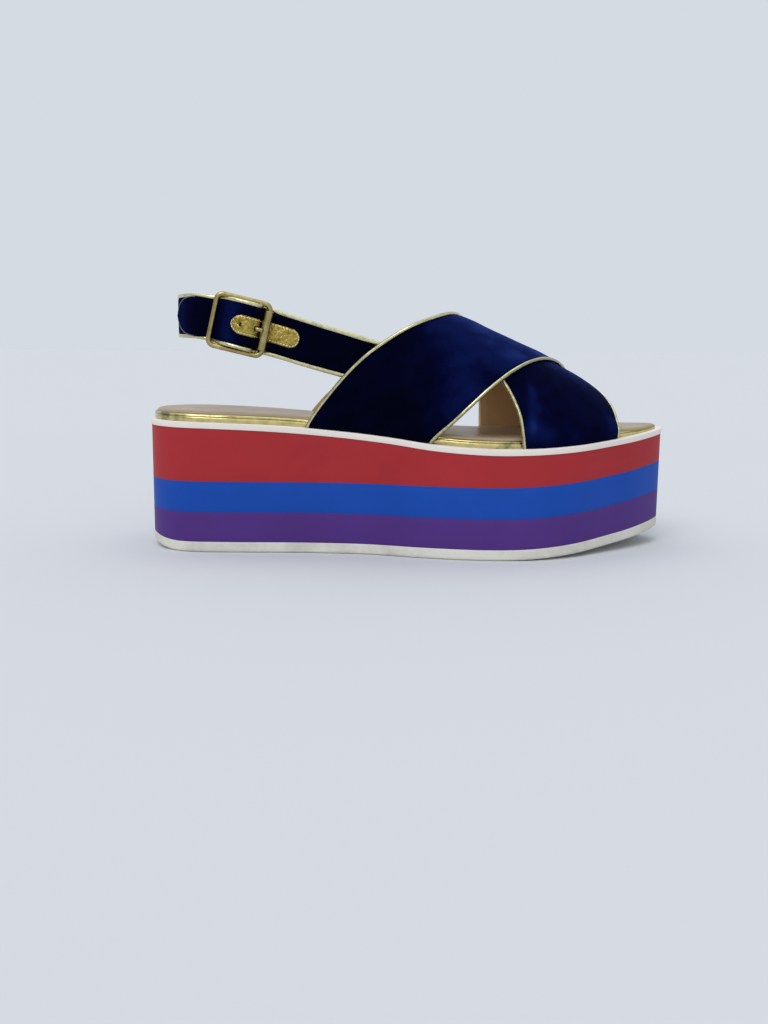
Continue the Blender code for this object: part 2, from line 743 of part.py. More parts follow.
def build_buckle():
    corners = []
    near, far = BUCKLE_CORNER, BUCKLE_LENGTH - BUCKLE_CORNER
    for centre_s, side, first in ((far, 1, 0.0), (near, 1, 90.0), (near, -1, 180.0), (far, -1, 270.0)):
        centre_w = side * (BUCKLE_HALF_WIDTH - BUCKLE_CORNER)
        for angle in np.radians(np.linspace(first, first + 90.0, 5)):
            corners.append(buckle_point(centre_s + BUCKLE_CORNER * math.cos(angle), 0.0,
                                        centre_w + BUCKLE_CORNER * math.sin(angle)))
    frame = tube("buckle_frame", corners, BAR_RADIUS, FRAME_SIDES, "brass", closed=True)
    ends = buckle_point(CENTRE_BAR, 0.0, (-BUCKLE_HALF_WIDTH, BUCKLE_HALF_WIDTH))
    bar = tube("centre_bar", ends, CENTRE_BAR_RADIUS, CENTRE_BAR_SIDES, "brass")
    combine(frame, bar, "UNION")
    bake(frame)

    turn = np.linspace(0.0, 2 * math.pi, ROLLER_SIDES, endpoint=False)
    rings = []
    for radius, w in ((ROLLER_OUTER, -ROLLER_HALF), (ROLLER_OUTER, ROLLER_HALF),
                      (ROLLER_INNER, ROLLER_HALF), (ROLLER_INNER, -ROLLER_HALF)):
        rings.append(buckle_point(ROLLER_BEHIND + radius * np.cos(turn), radius * np.sin(turn), w))
    solid("buckle_roller", np.concatenate(rings), ring_faces(rings), "brass")

    arc = np.radians(np.linspace(*PRONG_LOOP_TURN, 9))
    loop = np.stack([CENTRE_BAR + PRONG_LOOP * np.cos(arc), PRONG_LOOP * np.sin(arc)], 1)
    line = np.concatenate([loop, PRONG_SHAFT])
    tube("buckle_prong", buckle_point(line[:, 0], line[:, 1], 0.0), PRONG_RADIUS, PRONG_SIDES, "brass")


def main():
    for thing in list(bpy.data.objects):
        bpy.data.objects.remove(thing, do_unlink=True)
    build_sole()
    build_upper()
    build_sling()
    build_buckle()


main()
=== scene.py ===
"""Looks of the platform sandal: velvet straps, gold piping, banded platform and brass buckle."""
import math

import bmesh
import bpy
import numpy as np
from mathutils import Matrix


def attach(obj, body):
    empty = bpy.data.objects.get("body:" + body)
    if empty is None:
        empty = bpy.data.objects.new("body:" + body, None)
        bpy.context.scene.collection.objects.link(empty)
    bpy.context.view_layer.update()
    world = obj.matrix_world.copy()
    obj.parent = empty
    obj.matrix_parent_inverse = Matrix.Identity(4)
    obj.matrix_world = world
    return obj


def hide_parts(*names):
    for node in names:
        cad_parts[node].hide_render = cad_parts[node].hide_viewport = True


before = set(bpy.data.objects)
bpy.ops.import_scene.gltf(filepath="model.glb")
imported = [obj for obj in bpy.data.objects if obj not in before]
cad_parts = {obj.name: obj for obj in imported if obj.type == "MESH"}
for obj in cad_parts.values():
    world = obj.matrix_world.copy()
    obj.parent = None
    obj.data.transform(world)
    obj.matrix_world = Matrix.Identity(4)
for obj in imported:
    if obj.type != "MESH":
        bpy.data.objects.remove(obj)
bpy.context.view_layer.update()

# Sizes in millimetres, places along the shoe from the back of the heel
MM = 0.001
GAP = 0.3
HAIRLINE = 0.02

# Platform
LENGTH = 249.2
TOE_SWING, SWING_START = 13.0, 120.0
HEEL_REACH, TOE_REACH_LATERAL, TOE_REACH_MEDIAL = 27.0, 26.0, 32.0
END_POWER = 2.1
SPRING_START, TOE_SPRING = 157.0, 7.8
HEEL_BEVEL, BEVEL_REACH, BEVEL_KEPT = 3.0, 17.0, 0.85
OUTSOLE_TOP, PURPLE_TOP, BLUE_TOP = 5.0, 18.9, 33.1
OUTSOLE_PROUD, OUTSOLE_ROUND, BAND_ROUND = 0.1, (1.3, 0.3), (0.08, 0.08)
RAND_HEIGHT, RAND_PROUD, RAND_ROUND, RAND_SWELL = 2.8, 0.35, (0.18, 0.45), 0.05
OUTLINE = np.array([
    # along, lateral, medial
    (0.0, 30.0, 29.0), (40.0, 31.2, 29.6), (80.0, 31.0, 27.0), (105.0, 33.5, 27.5), (130.0, 41.0, 31.0),
    (160.0, 48.5, 35.5), (180.0, 50.0, 36.0), (200.0, 44.5, 34.5), (220.0, 32.0, 31.0), (235.0, 23.0, 27.2),
    (249.2, 15.0, 23.0),
])
STACK = np.array([
    # along, height
    (0.0, 58.0), (30.0, 57.4), (60.0, 56.2), (90.0, 54.0), (115.0, 51.5), (135.0, 49.0), (155.0, 47.7),
    (180.0, 47.3), (249.2, 46.3),
])

# Footbed and its wrapped rim
RIM_LEDGE, RIM_LEDGE_STRAPS, RIM_LEDGE_TOE = 1.6, 4.5, 3.0
LEDGE_REAR, LEDGE_FRONT = (30.0, 70.0), (227.0, 243.0)
RIM_WIDTH, RIM_HEIGHT = 2.2, 3.2
PLEAT_PITCH, PLEAT_DEPTH, PLEAT_REACH, PLEAT_SLANT = 2.9, 0.13, 45.0, 0.5
RIM_WAVES, RIM_CREASE, RIM_CREASE_ENDS = (6.0, 11.0, 19.0), 0.12, 0.06
RIM_FULLNESS = np.array([
    # along, share of the rim's full height
    (0.0, 1.15), (120.0, 1.1), (190.0, 1.0), (225.0, 0.8), (238.0, 0.55), (249.2, 0.45),
])
RIM_PROFILE = (
    # inward, height
    (0.0, 0.02), (-0.14, 0.5), (-0.2, 1.1), (-0.2, 1.7), (-0.1, 1.92), (0.14, 2.0), (0.5, 2.05), (0.55, 2.2),
    (0.16, 2.32), (0.03, 2.42), (0.07, 2.56), (0.3, 2.82), (0.55, 3.01), (0.88, 3.09), (1.35, 3.04),
    (1.75, 2.85), (2.05, 2.5), (2.25, 2.0), (2.3, 0.02),
)
PAD_LAP, PAD_LAP_TOE, PAD_LOWEST, PAD_CELLS, PAD_CROWN = 0.7, 1.5, 0.12, 16, 0.25
# Toe of the footbed: gold tint with painted shade, darker down its rounded edge
PAD_TOE, GILT_SHADE_TOE = (222.0, 236.0), (212.0, 236.0)
PAD_PROFILE = (
    # inset, height, height at the toe, gold tint with painted shade at the toe
    (0.0, 0.05, 0.05, 1.0), (0.0, 2.9, 1.1, 1.0), (-0.22, 3.25, 1.5, 1.0), (-0.2, 3.5, 2.0, 0.95),
    (0.05, 3.9, 2.8, 0.8), (0.5, 4.2, 3.5, 0.55), (1.3, 4.4, 4.15, 0.25), (2.4, 4.5, 4.45, 0.06),
    (4.0, 4.52, 4.52, 0.0),
)
# Humps are place, reach and strength
# Painted shade on the gold rim: a little all round, more at the back of the heel and under the straps
RIM_SHADE, RIM_SHADE_SPOTS = 0.12, ((5.0, 11.0, 0.88), (165.0, 14.0, 0.5))
PAD_HOLLOWS, PAD_ARCH = ((38.0, 30.0, -0.9), (172.0, 30.0, -0.7)), ((108.0, 30.0, 1.1),)

# Straps over the foot
STRAP_INSET, WALL, SECTION_POWER, RIDGE_BLEND = 1.8, 2.2, 2.25, 0.3
SINK, SINK_LATERAL, SINK_MEDIAL, SINK_BEHIND = 1.6, (0.04, 0.15), (0.855, 0.96), (-35.0, -6.0)
STRAP_STEPS, ACROSS_STEPS, EDGE_CROWDING = 170, 44, 0.45
EDGE_TURN, EDGE_DROP = 2.6, 0.75
CLOTH_WAVES, CLOTH_DEPTH, CLOTH_FREE, BASE_HELD = (34.0, 19.0), 0.28, 9.0, 0.05
CLOTH_FULL, FULL_REACH = 0.25, 8.0
HEM_WIDTH, HEM_MARGIN, HEM_RAISED, HEM_STEP = 4.0, 0.3, 0.18, 0.5
SEAM_INSET, SEAM_SPAN = 3.2, (0.03, 0.97)
RIDGE = np.array([
    # along, height, share of the width
    (60.0, 118.7, 0.5), (80.0, 106.7, 0.5), (100.0, 92.7, 0.505), (120.0, 77.4, 0.515), (145.0, 60.0, 0.53),
    (155.0, 56.0, 0.54), (165.0, 51.5, 0.55), (191.0, 39.8, 0.58), (210.0, 29.0, 0.6), (222.0, 20.4, 0.6),
    (235.0, 13.7, 0.6),
])
STRAP_EDGES = np.array([
    # round, over rear, over front, under rear, under front
    (0.0, 77.0, 131.6, 175.0, 222.0), (0.04, 87.5, 140.7, 174.1, 222.3), (0.09, 99.0, 149.4, 172.7, 222.6),
    (0.15, 111.8, 158.3, 169.4, 222.6), (0.22, 123.6, 167.5, 163.5, 222.0), (0.3, 133.8, 177.2, 158.2, 220.9),
    (0.4, 142.3, 188.0, 153.5, 218.4), (0.5, 148.0, 196.4, 149.0, 212.2), (0.6, 152.5, 202.0, 144.0, 201.0),
    (0.7, 156.0, 207.0, 135.5, 186.0), (0.8, 158.8, 211.5, 122.3, 168.5), (0.9, 160.7, 214.5, 103.0, 149.5),
    (1.0, 161.3, 216.0, 72.3, 131.0),
])
OVER_REAR, OVER_FRONT, UNDER_REAR, UNDER_FRONT = 1, 2, 3, 4
PIPING, PIPING_FULLER, BEAD_SIDES, BEAD_FOOT = 0.85, 0.02, 14, 0.35
TIP_ANGLES = (35.0, 65.0, 85.0)
BEAD_SUNK, BEAD_AT_CROSSING, BEAD_TUCK = 0.9, 0.55, 0.3
BEAD_MEDIAL, BEAD_LIFT, BEAD_ASIDE, BEAD_SHIFT = (0.62, 0.8), 1.3, 0.75, 1.65
BEADS = (
    # edge, its column, way out of the strap, start, stop, on the under strap
    ("over_rear", OVER_REAR, -1.0, 0.0, 1.0, False),
    ("over_front", OVER_FRONT, 1.0, 0.0, 1.0, False),
    ("under_front_lateral", UNDER_FRONT, 1.0, 0.0, 0.585, True),
    ("under_rear_lateral", UNDER_REAR, -1.0, 0.0, 0.2, True),
    ("under_rear_medial", UNDER_REAR, -1.0, 1.0, 0.53, True),
    ("under_front_medial", UNDER_FRONT, 1.0, 1.0, 0.85, True),
)
NAP_BASE, NAP_WAVES, NAP_UNEVEN = 0.03, (30.0, 15.0, 8.0), 0.09
# Nap patches, partly painted highlight and shade where light falls on the straps: along, round, reach along,
# reach round, strength
NAP_AND_LIGHT_OVER = (
    (165, 0.32, 46, 0.20, 0.43), (172, 0.50, 40, 0.10, 0.60), (146, 0.46, 17, 0.11, 0.32),
    (187, 0.40, 10, 0.06, 0.38), (172, 0.30, 9, 0.05, 0.28), (164, 0.235, 7, 0.035, 0.14),
    (151, 0.12, 11, 0.04, 0.26), (142, 0.065, 9, 0.03, 0.30), (135, 0.03, 9, 0.025, 0.28),
    (190, 0.62, 18, 0.09, 0.2), (182, 0.82, 16, 0.06, 0.35), (120, 0.03, 17, 0.045, -0.12),
    (143, 0.24, 15, 0.12, 0.11),
)
NAP_AND_LIGHT_UNDER = (
    (178, 0.16, 2.8, 0.045, 0.38), (177.5, 0.07, 2.6, 0.05, 0.36), (181, 0.115, 1.8, 0.018, 0.2),
    (182, 0.04, 9, 0.035, 0.25), (184, 0.19, 3, 0.02, 0.15), (200, 0.41, 18, 0.08, 0.48),
    (220, 0.08, 5, 0.09, 0.34), (200, 0.16, 40, 0.4, 0.2), (120, 0.80, 18, 0.07, 0.4),
    (108, 0.93, 11, 0.04, 0.3),
)

# Sling: places on its straps are behind the buckle's front bar and out from the sling's path
SLING_LATERAL, SLING_MEDIAL, LATERAL_TUCK, MEDIAL_TUCK = -31.6, 29.4, 2.7, 5.3
TUCK_SPAN = (50.0, 116.0)
SLING_FRONT, HEEL_CENTRE, HEEL_BACK, FRONT_BAR = 118.0, 34.0, 10.4, 58.4
SLING_WALL, SLING_PIPING, SLING_BEAD_OFF, CROWN = 1.5, 0.8, 0.35, 0.32
BEAD_TAPER, BEAD_THIN, TAB_SWELL = 12.0, 0.3, ((0.14, 0.16, 0.22),)
SLING_TURNED, BUCKLE_FILL, FILL_MIDDLE, FILL_REACH = 0.6, 0.6, 11.0, 13.0
RIBBON_FRONT, RIBBON_BACK, RIBBON_DROP = 17, 9, 0.45
TAB_END, TAB_ROUND, TAB_FINE = 48.2, 13.0, (-6.0, 28.0)
# Painted highlights on the fastening strap's velvet where light falls on it, as place, reach and strength
TAB_NAP, TAB_PAINTED_LIGHT = 0.02, ((16.0, 6.0, 0.4), (43.0, 6.0, 0.36))
PAINT_INSET, PAINT_RADIUS = 0.1, 0.24
FOLD_RADIUS, FOLD_SLOT, SLOT_REACH = 1.75, (8.6, 15.3, 1.5), 3.4
PATCH_SPAN, PATCH_HALF, PATCH_WALL, PATCH_CROWN = (-15.5, 15.0), 4.4, 0.4, 0.12
HOLES, HOLE_HALF, HOLE_LENGTH, HOLE_REACH = (-10.4, -4.8, 10.9), 0.9, 1.2, 8.0
PRONG_SLOT, SLOT_FROM = (3.0, 4.9, 1.0), 0.5
SLING_WIDTH = np.array([
    # behind the front bar, half width
    (-58.0, 8.0), (-20.0, 8.4), (0.0, 8.4), (14.0, 8.4), (30.0, 8.2), (60.0, 8.0),
])
SLING_HEIGHT = np.array([
    # along, height of the strap's middle
    (10.0, 108.3), (22.0, 108.0), (35.0, 106.7), (58.4, 101.3), (80.0, 95.0), (103.0, 88.5), (118.0, 83.7),
])
TAB_WEAVE = np.array([
    # behind, out
    (-58.0, -3.2), (-40.0, -3.2), (-24.0, -3.2), (-12.0, -3.3), (-5.0, -3.6), (0.0, -3.75), (1.7, -3.6),
    (3.0, -2.7), (3.75, -1.5), (4.1, -0.2), (4.4, 1.1), (5.0, 2.25), (6.1, 3.15), (7.5, 3.72), (9.5, 3.95),
    (12.0, 3.75), (15.0, 2.9), (18.0, 1.1), (21.0, -1.0), (24.0, -2.15), (28.0, -2.3), (54.0, -2.3),
])
FOLD = np.array([
    # behind, out, thickness
    (30.0, -4.3, 1.5), (26.0, -4.3, 1.5), (22.0, -4.2, 1.4), (18.5, -3.7, 1.2), (15.5, -2.7, 1.0),
    (13.5, -1.95, 1.0),
])
FOLD_RETURN = np.array([
    # behind, out, thickness
    (13.6, 1.55, 1.0), (15.2, 0.6, 1.0), (16.8, -0.9, 1.0), (18.0, -1.95, 1.0),
])
# Threads as pitch, length and radius
HEM_STITCH, PATCH_STITCH = (2.3, 1.6, 0.15), (1.35, 0.95, 0.23)
SEWN_INSET, SEWN_RAISED, SEWN_FROM = 0.85, 0.3, 1.3

# Buckle
BAR_RADIUS, BUCKLE_LENGTH, BUCKLE_HALF, BUCKLE_CORNER = 1.16, 24.4, 11.6, 2.8
CENTRE_BAR, CENTRE_RADIUS = 12.0, 0.85
ROLLER_BEHIND, ROLLER_INNER, ROLLER_OUTER, ROLLER_HALF, ROLLER_EDGE = 0.4, 1.75, 2.15, 8.8, 0.25
PRONG_RADIUS, PRONG_LOOP, PRONG_POWER = 0.8, 1.95, 3.2

# Stage: sky, dim room behind the camera, floor, and lamps as name, lean, turn, angle, power
SKY, ROOM, FLOOR, FLOOR_REACH = (0.665, 0.708, 0.762), (0.30, 0.32, 0.345), (0.620, 0.633, 0.659), 200.0
LAMPS = (("key", 42.0, -30.0, 35.0, 1.0), ("top", 12.0, 200.0, 60.0, 0.6), ("front", 72.0, 8.0, 70.0, 0.6))
FOCAL_PIXELS, IMAGE_PIXELS, SENSOR = 1000.0, 1024.0, 36.0
CAMERA_AT, CAMERA_PITCH, CAMERA_ROLL = (112.0, -486.3, 93.0), 9.147, 0.492


# Shape functions

def smooth(table, column, x):
    """Cubic curve through the rows of a table."""
    xs, ys = table[:, 0], table[:, column]
    slope = np.gradient(ys, xs)
    x = np.clip(np.asarray(x, float), xs[0], xs[-1])
    i = np.clip(np.searchsorted(xs, x, side="right") - 1, 0, len(xs) - 2)
    h = xs[i + 1] - xs[i]
    t = (x - xs[i]) / h
    start = (1 + 2 * t) * (1 - t) ** 2 * ys[i] + t * (1 - t) ** 2 * h * slope[i]
    return start + t * t * (3 - 2 * t) * ys[i + 1] + t * t * (t - 1) * h * slope[i + 1]


def clamp(x):
    return np.clip(x, 0.0, 1.0)


def span(x, ends):
    """Soft step between two ends."""
    t = clamp((np.asarray(x, float) - ends[0]) / (ends[1] - ends[0]))
    return t * t * (3 - 2 * t)


def humps(x, rows):
    """Sum of soft humps (place, reach, strength)."""
    return sum(strength * np.exp(-((x - place) / reach) ** 2) for place, reach, strength in rows)


def unit(v):
    return v / np.maximum(np.linalg.norm(v, axis=-1, keepdims=True), 1e-12)


def rounded(distance, reach):
    """Share of the width left near a round end."""
    d = clamp(1 - np.asarray(distance, float) / reach)
    return (1 - d ** END_POWER) ** (1 / END_POWER)


def sole_axis(x):
    return TOE_SWING * span(x, (SWING_START, LENGTH))


def half_width(x, column, toe_reach):
    return smooth(OUTLINE, column, x) * rounded(x, HEEL_REACH) * rounded(LENGTH - x, toe_reach)


def lateral_edge(x):
    return sole_axis(x) - half_width(x, 1, TOE_REACH_LATERAL)


def medial_edge(x):
    return sole_axis(x) + half_width(x, 2, TOE_REACH_MEDIAL)


def toe_spring(x):
    return TOE_SPRING * clamp((x - SPRING_START) / (LENGTH - SPRING_START)) ** 2


def heel_bevel(x):
    return HEEL_BEVEL * clamp(1 - x / BEVEL_REACH) ** 2


def outsole_top(x):
    return toe_spring(x) + BEVEL_KEPT * heel_bevel(x) + OUTSOLE_TOP


def rand_top(x):
    return smooth(STACK, 1, x) + toe_spring(x) + RAND_HEIGHT


def rim_ledge(x):
    wider = (RIM_LEDGE_STRAPS - RIM_LEDGE) * span(x, LEDGE_REAR)
    return RIM_LEDGE + wider - (RIM_LEDGE_STRAPS - RIM_LEDGE_TOE) * span(x, LEDGE_FRONT)


def edge_ring(stations):
    """The sole's outline, out along the lateral edge and back along the medial."""
    x = LENGTH * (1 - np.cos(np.linspace(0.0, math.pi, stations))) / 2
    return np.concatenate([np.stack([x, lateral_edge(x)], 1), np.stack([x, medial_edge(x)], 1)[-2:0:-1]])


def distances(path):
    """Length of a path up to each of its points."""
    return np.concatenate([[0.0], np.cumsum(np.linalg.norm(np.diff(path, axis=0), axis=1))])


FOOTPRINT = edge_ring(44)
MID_X = LENGTH / 2
MID_Y = (FOOTPRINT[:, 1].min() + FOOTPRINT[:, 1].max()) / 2
RING = edge_ring(190)
RING_ALONG = unit(np.roll(RING, -1, 0) - np.roll(RING, 1, 0))
RING_IN = np.stack([-RING_ALONG[:, 1], RING_ALONG[:, 0]], 1)
RING_AT = distances(RING)


def plan_ring(inset):
    return RING + RING_IN * np.broadcast_to(inset, len(RING))[:, None]


def vamp(x, around):
    """Outer face of a strap, from nought at the lateral base to one at the medial."""
    low, high = lateral_edge(x) + STRAP_INSET, medial_edge(x) - STRAP_INSET
    ridge = low + (high - low) * smooth(RIDGE, 2, x)
    angle = math.pi * clamp(around)
    c, s = np.cos(angle), np.sin(angle)
    eased = (c ** 2 + RIDGE_BLEND ** 2) / (1 + RIDGE_BLEND ** 2)
    half = (high - low) / 2 + (ridge - (low + high) / 2) * c / np.sqrt(eased)
    y = ridge - half * c * eased ** (1 / SECTION_POWER - 0.5)
    z = rand_top(x) + GAP + smooth(RIDGE, 1, x) * clamp(s) ** (2 / SECTION_POWER)
    return np.stack([x, y, z], -1)


def vamp_normal(x, around):
    a = np.clip(around, 0.004, 0.996)
    return unit(np.cross(vamp(x + 0.2, a) - vamp(x - 0.2, a), vamp(x, a + 0.002) - vamp(x, a - 0.002)))


def under_sink(x, around):
    """Share by which the lower strap is sunk under the upper one."""
    from_upper = x - smooth(STRAP_EDGES, OVER_REAR, around)
    return span(around, SINK_LATERAL) * (1 - span(around, SINK_MEDIAL)) * span(from_upper, SINK_BEHIND)


def waves(p, lengths, seed):
    """Smooth unevenness of about -1 to 1: slanted waves of the given lengths."""
    rng = np.random.default_rng(seed)
    each = 5
    total = np.zeros(p.shape[:-1])
    for size in lengths:
        for _ in range(each):
            way = unit(rng.normal(size=3))
            total += np.sin(p @ way * (2 * math.pi / size) + rng.uniform(0, 6.3))
    return total / (each * len(lengths)) ** 0.5 / 1.6


# Shader building

def set_values(node, **values):
    """Sets constants on a node's own sockets."""
    for key, value in values.items():
        node.inputs[key.replace("_", " ").title().replace("Ior", "IOR")].default_value = value


def shader(name, **values):
    """New material with its tree, shader and object coordinates."""
    m = bpy.data.materials.new(name)
    m.use_nodes = True
    tree = m.node_tree
    bsdf = tree.nodes["Principled BSDF"]
    set_values(bsdf, **values)
    coords = tree.nodes.new("ShaderNodeTexCoord")
    return m, tree, bsdf, coords.outputs["Object"]


def noise(tree, where, scale, detail=3.0, rough=0.5, distortion=0.0):
    n = tree.nodes.new("ShaderNodeTexNoise")
    set_values(n, scale=scale, detail=detail, roughness=rough, distortion=distortion)
    tree.links.new(where, n.inputs["Vector"])
    return n.outputs["Fac"]


def cells(tree, where, scale):
    n = tree.nodes.new("ShaderNodeTexVoronoi")
    set_values(n, scale=scale)
    tree.links.new(where, n.inputs["Vector"])
    return n.outputs["Distance"]


def ramp(tree, source, stops):
    r = tree.nodes.new("ShaderNodeValToRGB")
    while len(r.color_ramp.elements) < len(stops):
        r.color_ramp.elements.new(0.5)
    for e, (at, colour) in zip(r.color_ramp.elements, stops):
        e.position = at
        e.color = (*colour, 1.0)
    tree.links.new(source, r.inputs["Fac"])
    return r.outputs["Color"]


def remap(tree, source, low, high, lo=0.0, hi=1.0):
    r = tree.nodes.new("ShaderNodeMapRange")
    set_values(r, from_min=lo, from_max=hi, to_min=low, to_max=high)
    tree.links.new(source, r.inputs["Value"])
    return r.outputs["Result"]


def maths(tree, kind, a, b):
    n = tree.nodes.new("ShaderNodeMath")
    n.operation = kind
    for socket, value in zip(n.inputs, (a, b)):
        if isinstance(value, (int, float)):
            socket.default_value = value
        else:
            tree.links.new(value, socket)
    return n.outputs[0]


def mixed(tree, factor, first, second):
    mix = tree.nodes.new("ShaderNodeMix")
    mix.data_type = "RGBA"
    for key, source in (("Factor", factor), ("A", first), ("B", second)):
        tree.links.new(source, mix.inputs[key])
    return mix.outputs["Result"]


def bump(tree, bsdf, height, strength, distance):
    b = tree.nodes.new("ShaderNodeBump")
    set_values(b, strength=strength, distance=distance)
    tree.links.new(height, b.inputs["Height"])
    tree.links.new(b.outputs["Normal"], bsdf.inputs["Normal"])


def paint(tree, bsdf, colour, roughness):
    tree.links.new(colour, bsdf.inputs["Base Color"])
    tree.links.new(roughness, bsdf.inputs["Roughness"])


# Mesh attribute of tone and painted shade: pile with painted highlight and shade on the straps, painted shade
# on beads, rim and patch, gold tint with painted shade on the footbed
def mesh_tone_and_shade(tree):
    a = tree.nodes.new("ShaderNodeAttribute")
    a.attribute_name = "tone_and_shade"
    return a.outputs["Fac"]


def scaled(colour, k):
    return tuple(min(1.0, c * k) for c in colour)


# Materials

def moulded(name, colour, roughness, spread=0.07, grain=0.12):
    """Smooth wrapped or moulded layer: slight cloudiness and a fine grain."""
    m, t, b, where = shader(name, roughness=roughness, specular_ior_level=0.1)
    cloud = noise(t, where, 26.0, 4.0, 0.6)
    tone = ramp(t, cloud, ((0.3, scaled(colour, 1 - spread)), (0.7, scaled(colour, 1 + spread))))
    paint(t, b, tone, remap(t, noise(t, where, 90.0, 4.0), roughness - 0.07, roughness + 0.09))
    coarse = maths(t, "MULTIPLY", noise(t, where, 320.0, 3.0), 0.6)
    bump(t, b, maths(t, "ADD", noise(t, where, 2600.0, 2.0), coarse), grain, 0.0002)
    return m


def velvet():
    """Short navy pile: lighter and darker pile from the mesh, partly painted highlight and shade, flecks and
    a faint blue sheen.
    """
    m, t, b, where = shader("velvet_pile", roughness=0.85, specular_ior_level=0.02, sheen_weight=0.04,
                            sheen_roughness=0.35, sheen_tint=(0.05, 0.13, 0.60, 1.0))
    mottle = remap(t, noise(t, where, 110.0, 6.0, 0.66, 0.8), -0.2, 0.22)
    fleck = remap(t, noise(t, where, 1700.0, 3.0, 0.7), -0.14, 0.14)
    tone_and_shade = maths(t, "ADD", mesh_tone_and_shade(t), maths(t, "ADD", mottle, fleck))
    dark_to_light = ((0.0, (0.0002, 0.0005, 0.006)), (0.3, (0.0006, 0.0014, 0.021)),
                     (0.6, (0.0028, 0.0075, 0.062)), (1.0, (0.012, 0.031, 0.165)))
    t.links.new(ramp(t, tone_and_shade, dark_to_light), b.inputs["Base Color"])
    tufts = maths(t, "MULTIPLY", noise(t, where, 420.0, 4.0), 0.5)
    bump(t, b, maths(t, "ADD", noise(t, where, 3800.0, 2.0, 0.7), tufts), 0.35, 0.0003)
    return m


def gold(name, colour, crinkle, gloss, size=520.0, contrast=0.35, shade=0.0, shade_patches=False):
    """Foil-coated leather, glossy and creased; a darker copy of the colour is mixed in by the mesh as painted
    shade, in patches where asked.
    """
    m, t, b, where = shader(name, metallic=1.0, roughness=0.3)
    creases = noise(t, where, size, 5.0, 0.6, 0.8)
    stops = ((0.3, scaled(colour, 1 - contrast)), (0.5, colour), (0.75, scaled(colour, 1 + 0.7 * contrast)))
    tone = ramp(t, creases, stops)
    # Painted shade: a darker copy of the colour mixed in by the mesh attribute, in noise patches if asked
    if shade:
        factor = maths(t, "MULTIPLY", mesh_tone_and_shade(t), shade)
        if shade_patches:
            shade_mask = remap(t, noise(t, where, 150.0, 5.0, 0.62, 1.2), 1.0, 0.0, 0.38, 0.52)
            factor = maths(t, "MULTIPLY", factor, shade_mask)
        shaded = ramp(t, creases, ((0.3, scaled(colour, 0.1)), (0.7, scaled(colour, 0.28))))
        tone = mixed(t, factor, tone, shaded)
    paint(t, b, tone, remap(t, noise(t, where, 260.0, 4.0), *gloss))
    pebbles = maths(t, "MULTIPLY", cells(t, where, size * 2.0), 0.3)
    bump(t, b, maths(t, "ADD", creases, pebbles), crinkle, 0.0006)
    return m


def leather(name, colour, roughness, pores=0.2, gloss=0.3, gilt_and_shade=None):
    """Lining leather with a fine pebble, and a gold tint with painted shade where the mesh has it."""
    m, t, b, where = shader(name, roughness=roughness, specular_ior_level=gloss)
    cloud = noise(t, where, 45.0, 5.0, 0.6)
    tone = ramp(t, cloud, ((0.3, scaled(colour, 0.88)), (0.7, scaled(colour, 1.1))))
    if gilt_and_shade:
        gilt_shade_tone = ramp(t, cloud, ((0.3, scaled(gilt_and_shade, 0.8)), (0.7, scaled(gilt_and_shade, 1.2))))
        tone = mixed(t, mesh_tone_and_shade(t), tone, gilt_shade_tone)
    paint(t, b, tone, remap(t, noise(t, where, 130.0, 3.0), roughness - 0.08, roughness + 0.1))
    bump(t, b, maths(t, "ADD", cells(t, where, 1500.0), noise(t, where, 500.0, 3.0)), pores, 0.0003)
    return m


def brass():
    """Satin antique brass, darker in patches, with a very fine grain."""
    m, t, b, where = shader("antique_brass", metallic=1.0, roughness=0.34)
    patina = ((0.3, (0.31, 0.24, 0.095)), (0.6, (0.45, 0.36, 0.155)), (0.85, (0.64, 0.54, 0.27)))
    tone = ramp(t, noise(t, where, 210.0, 5.0, 0.65), patina)
    paint(t, b, tone, remap(t, noise(t, where, 600.0, 4.0), 0.2, 0.36))
    bump(t, b, noise(t, where, 2400.0, 3.0), 0.12, 0.0001)
    return m


def rubber_sole():
    """Off-white rubber with faint grey scuffs and fine cross ribs underneath."""
    m, t, b, where = shader("outsole_rubber", roughness=0.6, specular_ior_level=0.3)
    scuffs = ((0.3, (0.56, 0.54, 0.48)), (0.55, (0.72, 0.70, 0.63)), (0.8, (0.78, 0.76, 0.69)))
    t.links.new(ramp(t, noise(t, where, 60.0, 6.0, 0.68), scuffs), b.inputs["Base Color"])
    ribs = t.nodes.new("ShaderNodeTexWave")
    set_values(ribs, scale=95.0, distortion=0.0)
    t.links.new(where, ribs.inputs["Vector"])
    geometry = t.nodes.new("ShaderNodeNewGeometry")
    split = t.nodes.new("ShaderNodeSeparateXYZ")
    t.links.new(geometry.outputs["True Normal"], split.inputs[0])
    facing_down = remap(t, split.outputs["Z"], 1.0, 0.0, -0.9, -0.7)
    tread = maths(t, "MULTIPLY", ribs.outputs["Fac"], facing_down)
    grain = maths(t, "MULTIPLY", noise(t, where, 1500.0, 3.0), 0.25)
    bump(t, b, maths(t, "ADD", tread, grain), 0.4, 0.0006)
    return m


VELVET = velvet()
# Beads: painted shade on their side away from the velvet
GOLD = gold("gold_piping", (0.62, 0.585, 0.335), 0.08, (0.16, 0.34), shade=0.6)
# Rim: patchy painted shade from the mesh
GOLD_RIM = gold("gold_rim", (0.66, 0.58, 0.27), 0.03, (0.05, 0.17), 240.0, 0.25, 0.9, True)
